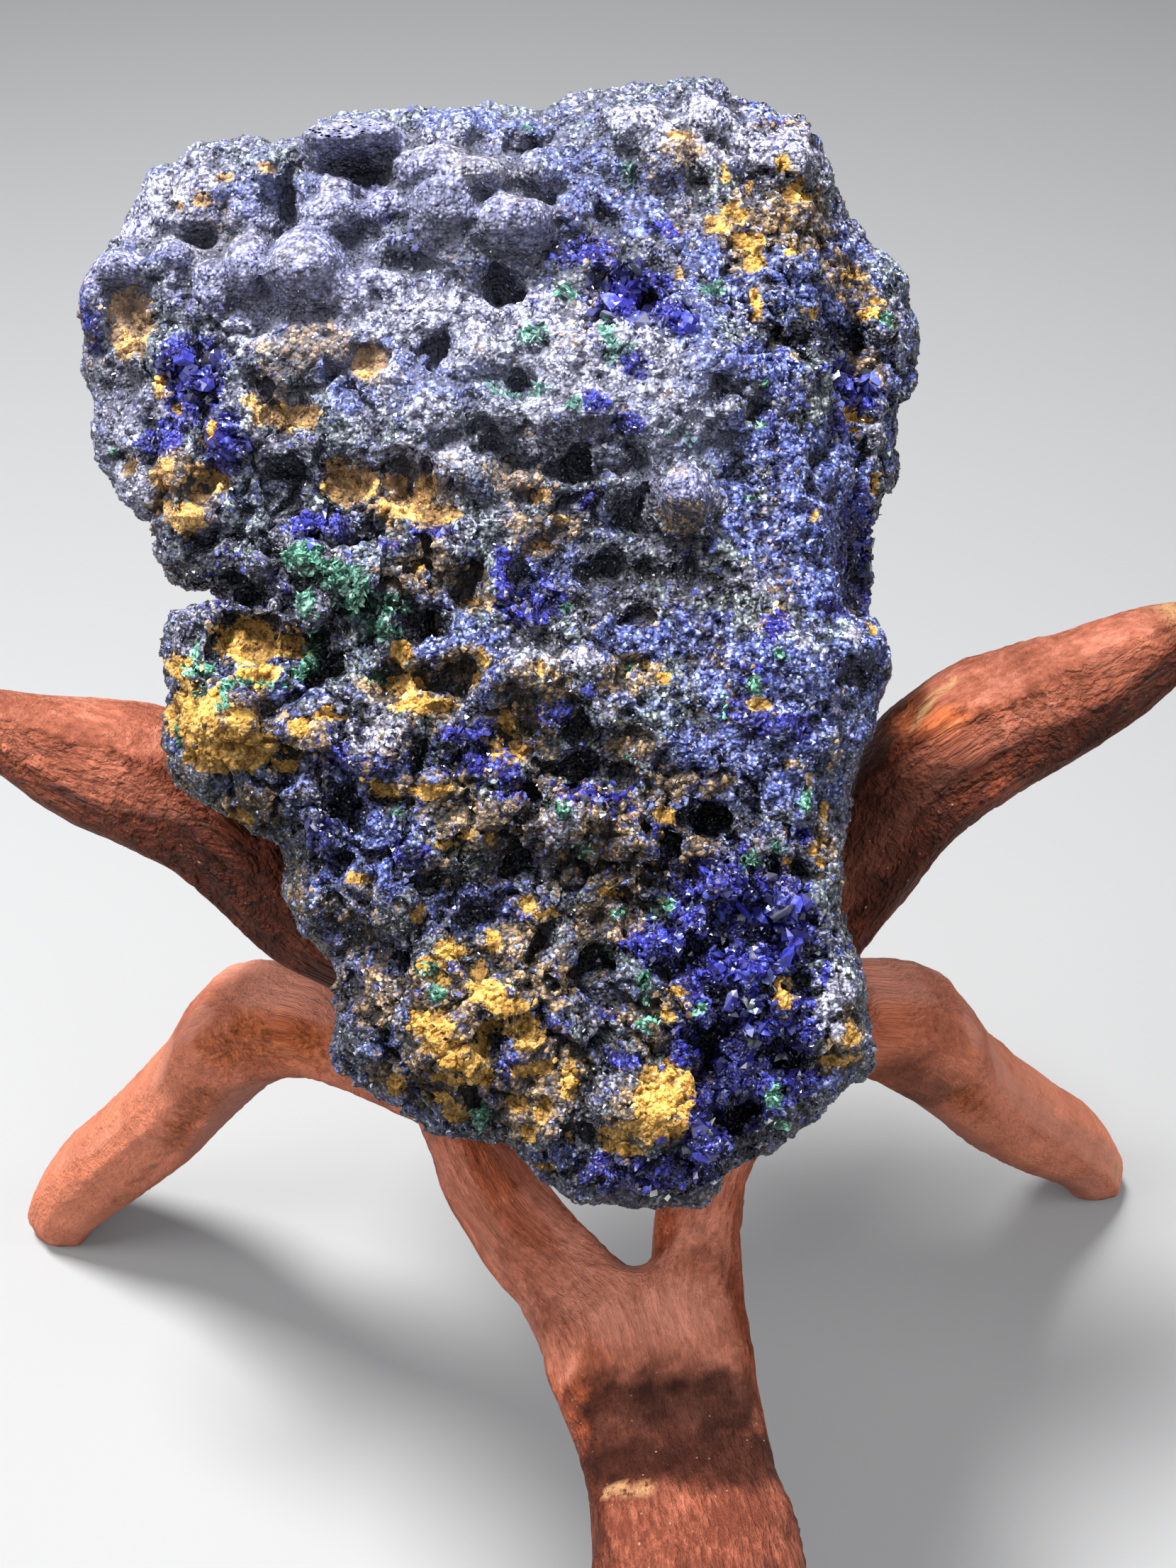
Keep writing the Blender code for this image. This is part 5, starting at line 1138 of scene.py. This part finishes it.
def crumb_material():
    """Limonite crumbs, brown or yellow as the ground they lie on."""
    made, tree, shader = new_material("limonite_crumbs", {"Roughness": 0.85, "Specular IOR Level": 0.15})
    where = in_millimetres(tree)
    brown, yellow = earth_colours(tree, where, stored(tree, "tint"))
    is_ochre = stored(tree, "ochre")
    colour = shaded(tree, mixed(tree, is_ochre, brown, yellow), times(tree, is_ochre, 0.5))
    tree.links.new(colour, shader.inputs["Base Color"])
    bumped(tree, shader, cloud(tree, where, 0.4, 5.0, 0.7), 0.0002, 0.8)
    return made


def malachite_material():
    made, tree, shader = new_material("malachite", {"Roughness": 0.4})
    colour = green_colour(tree, in_millimetres(tree), stored(tree, "tint"))
    tree.links.new(shaded(tree, colour), shader.inputs["Base Color"])
    return made


# The stand

# The centre lines of its members, in millimetres from the ground
GRAIN_LINES = {
    "stand_left_member": [[
        (-104, 63, 0), (-99, 63, 11), (-75, 56, 47), (-51, 43, 91), (-38, 36, 101), (-7, 20, 103),
        (17, 21, 120), (37, 38, 134), (50, 44, 151), (69, 49, 159), (81, 53, 165),
    ]],
    "stand_right_member": [[
        (104, 73, 0), (100, 72, 11), (75, 59, 47), (51, 42, 91), (41, 38, 101), (17, 34, 103), (-7, 34, 120),
        (-31, 33, 128), (-46, 39, 141), (-64, 44, 148), (-83, 49, 153),
    ]],
    "stand_front_member": [
        [(19, -99, 0), (18, -84, 30), (17, -63, 73), (14, -40, 95), (9, -12, 96)],
        [(9, -12, 96), (-10, 7, 99), (-22, 30, 110), (-10, 55, 118), (3, 60, 123)],
        [(9, -12, 96), (17, 11, 100), (28, 31, 110), (18, 55, 118), (3, 60, 123)],
        [(3, 60, 123), (3, 69, 150), (2, 86, 174), (1, 103, 185)],
    ],
}
# How far along the wood each of the front member's lines starts
FORK_RUNS = (0.0, 150.0, 150.0, 240.0)
GRAIN_BLEND = 3.0
KNOT_STEP = 6.0
# The legs are painted lighter below these heights, partly a lighter stain and partly painted light where the
# ore and the arms shade them, and the front member is painted darker before its knee, a painted shade where the
# lamps strike it
LIGHT_LEGS = 122
LIGHT_FRONT_LEG = 88
DARK_KNEE = -18
LIGHT_FADE = 14
# Marks on the stand, in millimetres: one end, the other end, reach
# Pale marks: bare wood where the stand is rubbed through, and a painted highlight at the left member's elbow
WORN_AND_HIGHLIT = [
    (43, 42.4, 156.2, 44.6, 45.1, 157, 0.9), (44.6, 45.1, 157, 47.4, 47.2, 158.1, 0.9),
    (76, 52, 166.8, 82, 54, 168, 3), (3.2, -32.2, 100.4, 8.4, -32.8, 102.3, 0.8),
    (105.4, 66.6, 14, 104.6, 65.8, 11.6, 1.4), (-73.4, 44.8, 49.4, -70, 43.9, 52.6, 0.6),
    (-77.6, 46.4, 42.6, -74.2, 45.9, 45.6, 0.6), (-85.2, 50.4, 28.4, -82, 49.8, 31.4, 0.6),
]
GOUGES = [
    (-65.6, 41, 66, -61.4, 39.8, 69.6, 0.9), (-73.8, 45.1, 48.4, -69.4, 43.7, 52.4, 1),
    (-77.8, 46.6, 41.8, -73.8, 45.8, 45.4, 1), (-81.2, 48.5, 35.4, -77.8, 47.5, 38.6, 0.8),
    (-85.4, 50.6, 27.8, -81.8, 49.7, 31.2, 0.9), (2.6, -33.4, 100.6, 8.8, -34, 102.6, 0.9),
    (7, -4.6, 103, 7, -10.5, 102.8, 0.35), (-2.2, 2.2, 103, 0.2, 3.6, 100.9, 0.4),
]
PITTED = [
    (-54.6, 33.4, 96.4, -48.5, 31.5, 102.5, 4), (-48.5, 31.5, 102.5, -40.1, 28.4, 105.6, 4.6),
    (41.3, 44.5, 154.4, 45.3, 40.8, 158, 3), (-58, 36, 84, -70, 43, 55, 2.6), (58, 36, 84, 68, 40, 66, 2.6),
]
# Dark marks: partly a dark stain across the front member, partly painted shade where the arms meet the ore
STAIN_AND_SHADE_MARKS = [
    (3, -22, 100.5, 19.5, -22, 100.5, 5), (4, -28, 100.5, 20.5, -28, 100.5, 5.4),
    (-47, 30, 144, -36, 24, 122, 8), (44, 33, 150, 32, 33, 128, 9), (47, 33, 97, 54, 34, 84, 4.6),
    (48, 36, 151, 78, 45, 160, 3.6),
]


def along_grain(points, lines):
    """Each point's place along the centre lines near it, and beside them, in millimetres."""
    stretches = []
    for line, start_run in zip(lines, FORK_RUNS):
        run = start_run
        for start, end in zip(np.array(line, float), np.array(line[1:], float)):
            step = end - start
            length = np.linalg.norm(step)
            share = np.clip((points - start) @ step / length**2, 0, 1)
            offset = points - start - share[:, None] * step
            side = unit(np.cross(step / length, (0.0, 0.3, 1.0))[None])[0]
            up = np.cross(side, step / length)
            here = np.stack([run + share * length, offset @ side, offset @ up], axis=1)
            stretches.append((np.linalg.norm(offset, axis=1), here))
            run += length
    nearest = np.min([distance for distance, _ in stretches], axis=0)
    total, weight = np.zeros((len(points), 3)), np.zeros(len(points))
    for distance, here in stretches:
        share = np.exp((nearest - distance) / GRAIN_BLEND)
        total += here * share[:, None]
        weight += share
    return total / weight[:, None]


def in_marks(points, marks, ragged, seed):
    """How far inside the marks each point lies, 0 to 1. A mark runs between two ends and has a reach."""
    moved = points + ragged * sway(points, 2.0, seed)
    inside = np.zeros(len(points))
    for mark in marks:
        start, end, reach = np.array(mark[:3]), np.array(mark[3:6]), mark[6]
        step = end - start
        share = np.clip((moved - start) @ step / max(step @ step, 1e-6), 0, 1)
        away = np.linalg.norm(moved - start - share[:, None] * step, axis=1)
        inside = np.maximum(inside, smooth_step(1.4 - away / reach))
    return inside


def planed(grain):
    """How deep the carver's long flat cuts go into each point, and where every other one of them shows."""
    run, side, up = grain.T
    radius, angle = np.hypot(side, up), np.arctan2(up, side)
    knots = np.arange(0.0, run.max() + KNOT_STEP, KNOT_STEP)
    bins = np.clip(np.round(run / KNOT_STEP).astype(int), 0, len(knots) - 1)
    mean = np.bincount(bins, radius, len(knots)) / np.maximum(np.bincount(bins, minlength=len(knots)), 1)
    size = np.interp(run, knots, mean)
    deepest, shown = np.zeros(len(run)), np.zeros(len(run))
    for k in range(FACET_COUNT):
        lean = 2 * math.pi * (k + 0.4 * np.sin(run / 27 + 2.1 * k)) / FACET_COUNT
        cut = radius * np.cos(angle - lean) - size * (0.95 + 0.05 * np.sin(run / 13 + 3.3 * k))
        deepest = np.maximum(deepest, cut)
        shown = np.maximum(shown, smooth_step(cut / 0.3) * (k % 2))
    return np.minimum(deepest, 1.0), shown


def even_member(name):
    """A member of the stand with small even facets, in millimetres."""
    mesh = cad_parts[name].data.copy()
    obj = new_object(name.replace("stand_", "carved_"), mesh)
    set_points(mesh, points_of(mesh) / MM)
    weld = obj.modifiers.new("Weld", "WELD")
    weld.merge_threshold = 0.0001
    even_out(obj, WOOD_VOXEL)
    soften = obj.modifiers.new("Soften", "SMOOTH")
    soften.iterations = WOOD_SOFTENING
    return settle(obj)


def tooling(points, grain, looks):
    """How deep each point is cut, by the flat cuts, gouges, pits and the texture between them."""
    rough = (1 - 0.8 * looks["smooth"]) * (0.55 + 0.45 * value_noise(points, 14.0, 77, 2))
    pebble = cells(grain * (0.75, 1, 1), 1.6, 81)[0]
    wrinkle = np.abs(value_noise(grain * (0.5, 1, 1), 2.6, 83, 2))
    streak = value_noise(grain * (0.2, 1, 1), 1.2, 91, 2)
    fibrous, pitted = looks["fibrous"], looks["pitted"]
    cut = 0.1 + 0.1 * value_noise(grain * (0.4, 1, 1), 6.0, 71, 2) + 0.9 * looks["flat"]
    cut += 0.5 * in_marks(points, GOUGES, 0.4, 21)
    cut += (rough + pitted) * (1 - 0.6 * fibrous) * (0.5 * (pebble - 0.3) + 0.3 * wrinkle)
    cut += 0.16 * fibrous * streak + 0.4 * pitted * np.clip(value_noise(points, 2.0, 95, 2), 0, 1)
    return np.clip(cut, -0.05, DEEPEST_CUT)


def painted_leg_light(points, fibrous):
    """Where the stain is painted lighter, low on the legs: partly a lighter stain, partly painted light in the
    shade of the ore and the arms. In front of the front member's knee it is painted darker instead, a painted
    shade.
    """
    _, y, z = points.T
    sides = smooth_step((LIGHT_LEGS - z) / LIGHT_FADE)
    knee = smooth_step((DARK_KNEE - y) / LIGHT_FADE)
    front = 0.55 - 0.8 * knee + 0.9 * smooth_step((LIGHT_FRONT_LEG - z) / LIGHT_FADE)
    return sides * (1 - fibrous) + front * fibrous


def carved(name, finish):
    """A member of the stand, tooled. The cuts only go inwards, so that it keeps its place."""
    obj = even_member(name)
    mesh = obj.data
    points, normals = points_of(mesh), normals_of(mesh)
    grain = along_grain(points, GRAIN_LINES[name])
    flat, smooth = planed(grain)
    fibrous = np.full(len(points), 1.0 if name == "stand_front_member" else 0.2)
    pitted = in_marks(points, PITTED, 1.2, 11)
    looks = {"flat": flat, "smooth": smooth, "fibrous": fibrous, "pitted": pitted}
    moved = points - normals * tooling(points, grain, looks)[:, None]
    moved[:, 2] = np.maximum(moved[:, 2], 0.0)
    set_points(mesh, moved * MM)
    attribute = mesh.attributes.new("grain", "FLOAT_VECTOR", "POINT")
    attribute.data.foreach_set("vector", grain.astype(np.float32).ravel())
    # Painted light: what faces up and back towards the key lamp is painted the pale salmon of the planed cuts
    upward = smooth_step((normals[:, 2] + 0.5 * normals[:, 1] - 0.74) / 0.24)
    top = upward * smooth_step((normals[:, 2] - 0.5) / 0.2)
    marks = {
        "fibrous": fibrous,
        "planed": np.maximum(0.55 * smooth, top),
        "pitted": pitted,
        # Painted shade on what faces down
        "under": smooth_step(0.15 - 1.1 * normals[:, 2]),
        # Painted light along the legs, partly a lighter stain, and painted shade before the front knee
        "light": painted_leg_light(points, fibrous),
        # Partly stain, partly painted shade where the arms meet the ore
        "stain_and_shade": (0.5 + 0.5 * fibrous) * in_marks(points, STAIN_AND_SHADE_MARKS, 1.4, 31),
        "worn_and_highlit": in_marks(points, WORN_AND_HIGHLIT, 0.8, 41),
    }
    for key, values in marks.items():
        set_values(mesh, key, values)
    mesh.shade_smooth()
    mesh.materials.clear()
    mesh.materials.append(finish)
    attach(obj, "root")
    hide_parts(name)


def wood_material():
    """Carved wood under a matt red-brown stain, paler on the planed cuts and bare in places. Painted light lies
    on its tops, its lower legs and the left member's elbow; painted shade on its undersides, in its creases and
    where the arms meet the ore.
    """
    made, tree, shader = new_material("stained_wood", {"Specular IOR Level": 0.14})
    grain = stored(tree, "grain", "Vector")
    fibrous, smooth, light = (stored(tree, name) for name in ("fibrous", "planed", "light"))
    fibres = cloud(tree, vectors(tree, "MULTIPLY", grain, (0.2, 1, 1)), 0.7, 4.0, 0.7)
    wander = node(tree, "ShaderNodeTexNoise", {"Vector": grain, "Scale": 0.5, "Detail": 3.0}).outputs["Color"]
    wavy = vectors(tree, "ADD", vectors(tree, "MULTIPLY", grain, (0.45, 1, 1)), scaled(tree, wander, 3.0))
    pebbles = cloud(tree, grain, 1.1, 5.0, 0.72)
    blotches = cloud(tree, grain, 8.0, 6.0, 0.62)
    texture = node(tree, "ShaderNodeMix", {0: fibrous, 2: pebbles, 3: fibres}, data_type="FLOAT").outputs[0]
    tone = blend(tree, texture, 0.5, blotches)
    # Painted light on the legs in shade, painted shade in front of the front member's knee
    tone = plus(tree, tone, times(tree, less(tree, 0.98, tone), times(tree, light, 0.5)))
    # Salmon on the planed cuts, and on the tops as painted light
    colour = mixed(tree, times(tree, smooth, 0.8), ramp(tree, tone, "stain"), ramp(tree, tone, "salmon"))
    colour = mixed(tree, stored(tree, "pitted"), colour, ramp(tree, texture, "orange"))
    # Painted shade on the undersides
    colour = mixed(tree, times(tree, stored(tree, "under"), 0.6), colour, SHADED_UNDERSIDE)
    # A dark stain, and painted shade where the arms meet the ore
    soaked_and_shaded = times(tree, stored(tree, "stain_and_shade"), spread(tree, blotches, 0.35, 0.58, 1.0, 0.9))
    colour = mixed(tree, soaked_and_shaded, colour, SOAKED_AND_SHADED)
    firm = higher(tree, times(tree, fibrous, 0.6), times(tree, smooth, 0.75))
    firm = higher(tree, firm, times(tree, light, 0.8))
    # Painted shade in the leather-like creases and painted light on their ridges, less on fibrous, planed and
    # painted-light wood
    crease = spread(tree, crystal_cells(tree, wavy, 1.3)[0], 0.3, 0.8, 1.15, 0.55)
    colour = scaled(tree, colour, plus(tree, times(tree, crease, less(tree, 1.0, firm)), firm))
    # Bare wood where rubbed through, and a painted highlight at the left member's elbow
    worn_and_highlit = times(tree, stored(tree, "worn_and_highlit"), spread(tree, pebbles, 0.38, 0.48))
    colour = mixed(tree, worn_and_highlit, colour, BARE_WOOD_AND_HIGHLIGHT)
    distance, _, lots = crystal_cells(tree, grain, 0.5)
    speck = times(tree, spread(tree, lots[0], 0.98, 0.99), spread(tree, distance, 0.2, 0.34, 0.5, 0.0))
    tree.links.new(mixed(tree, speck, colour, SPECK), shader.inputs["Base Color"])
    tree.links.new(spread(tree, pebbles, 0.35, 0.65, 0.5, 0.68), shader.inputs["Roughness"])
    leather = less(tree, 1.0, crystal_cells(tree, wavy, 1.0)[0])
    rough = times(tree, leather, less(tree, 1.3, times(tree, fibrous, 0.9)))
    rough = times(tree, rough, spread(tree, smooth, 0.0, 1.0, 1.0, 0.25))
    rough = times(tree, rough, spread(tree, light, 0.0, 1.0, 1.0, 0.35))
    bumped(tree, shader, plus(tree, texture, rough), 0.0018, 1.0)
    return made


# The room

def area_light(name, place, size, power):
    light = bpy.data.lights.new(name, "AREA")
    light.shape = "DISK"
    light.size = size
    light.energy = power
    obj = new_object(name, light)
    obj.location = place
    obj.rotation_euler = (Vector(LIGHTS_AIM) - Vector(place)).to_track_quat("-Z", "Y").to_euler()


def floor():
    mesh = bpy.data.meshes.new("floor")
    corners = [(x * FLOOR_REACH, y * FLOOR_REACH, 0) for x, y in ((-1, -1), (1, -1), (1, 1), (-1, 1))]
    mesh.from_pydata(corners, [], [(0, 1, 2, 3)])
    grey = (FLOOR_GREY, FLOOR_GREY, FLOOR_GREY, 1)
    mesh.materials.append(new_material("pale_floor", {"Base Color": grey, "Roughness": 0.7})[0])
    new_object("floor", mesh)


def camera():
    data = bpy.data.cameras.new("camera")
    data.sensor_fit = "VERTICAL"
    data.sensor_height = SENSOR_MM
    data.lens = SENSOR_MM * FOCAL_PIXELS / PHOTO_HEIGHT_PIXELS
    data.clip_start = 0.001
    obj = new_object("camera", data)
    obj.location = CAMERA_PLACE
    obj.rotation_euler = (math.radians(CAMERA_TILT_DEG), 0.0, 0.0)
    bpy.context.scene.camera = obj


def room():
    scene = bpy.context.scene
    floor()
    world = bpy.data.worlds.new("studio")
    world.use_nodes = True
    background = world.node_tree.nodes["Background"]
    background.inputs["Color"].default_value = AIR_COLOUR
    background.inputs["Strength"].default_value = AIR_STRENGTH
    scene.world = world
    for name, light in LIGHTS.items():
        area_light(name, *light)
    camera()
    scene.view_settings.view_transform = "Standard"


# The whole

def finish_ore_piece(obj, finish, top):
    place_in_stand(obj, top)
    obj.data.materials.append(finish)
    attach(obj, "root")


def ore_body():
    """The worked lump, what covers it at each point, and how deep and how level each point lies."""
    obj = pillow()
    work_block(obj)
    points = points_of(obj.data)
    worked = fine_relief(points, normals_of(obj.data), covering(points))
    set_points(obj.data, clear_of_stand(worked))
    thin_out(obj, ORE_TRIANGLES)
    obj.name = "ore_body"
    mesh = obj.data
    cover = covering(points_of(mesh))
    # How deep and how upward each point lies, for the painted shade in recesses and the painted light on what
    # faces up
    cover["sunken"] = 1.7 * sunken(mesh, 6) + 0.5 * sunken(mesh, 50)
    cover["up"] = facing_up(mesh)
    for name, values in cover.items():
        set_values(mesh, name, values)
    mesh.shade_flat()
    return obj, cover


def ore():
    """The ore and everything that stands on it."""
    rng = np.random.default_rng(SEED)
    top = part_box(ORE)[1].z
    obj, cover = ore_body()
    points = points_of(obj.data)
    surface = (points, normals_of(obj.data), triangles_of(obj.data))
    azurite, limonite = azurite_material(), crumb_material()
    front = front_of(points)
    bare = (1 - cover["ochre"]) * (1 - 0.6 * cover["brown"]) * (1 - cover["malachite"])
    earthy = np.maximum(0.7 * cover["ochre"], np.clip(cover["brown"] - 0.3, 0, 1))
    druses = {
        "azurite_druse_face": (front * bare, DRUSE_FACE),
        "azurite_druse_vivid": (front * bare * (0.15 + cover["vivid"]), DRUSE_VIVID),
        "azurite_druse_back": ((1 - front) * (0.1 + bare), DRUSE_BACK),
    }
    sunk = 0.4 + 0.3 * cover["smooth"]
    for name, (weight, grains) in druses.items():
        druse = strewn(name, bipyramid(), surface, cover, weight, grains, 1.1, sunk, 2.0, rng)
        finish_ore_piece(druse, azurite, top)
    finish_ore_piece(crystal_beds(surface, cover, rng), azurite, top)
    weight = earthy * (0.35 + front)
    sunk = np.full(len(points), 0.3)
    crumbs = strewn("limonite_crumbs", crumb_shape(), surface, cover, weight, CRUMBS, 0.8, sunk, 0.8, rng)
    finish_ore_piece(crumbs, limonite, top)
    finish_ore_piece(tufts(surface, cover, TUFT_COUNT, rng), malachite_material(), top)
    finish_ore_piece(obj, ore_material(), top)
    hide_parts(ORE)


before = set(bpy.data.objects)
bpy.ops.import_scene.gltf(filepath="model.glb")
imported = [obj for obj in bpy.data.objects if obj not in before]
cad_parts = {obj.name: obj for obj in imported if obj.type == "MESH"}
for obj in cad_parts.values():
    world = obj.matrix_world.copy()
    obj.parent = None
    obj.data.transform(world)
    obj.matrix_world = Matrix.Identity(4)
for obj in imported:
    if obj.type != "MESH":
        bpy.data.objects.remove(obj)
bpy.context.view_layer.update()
room()
ore()
wood = wood_material()
for member in MEMBERS:
    carved(member, wood)
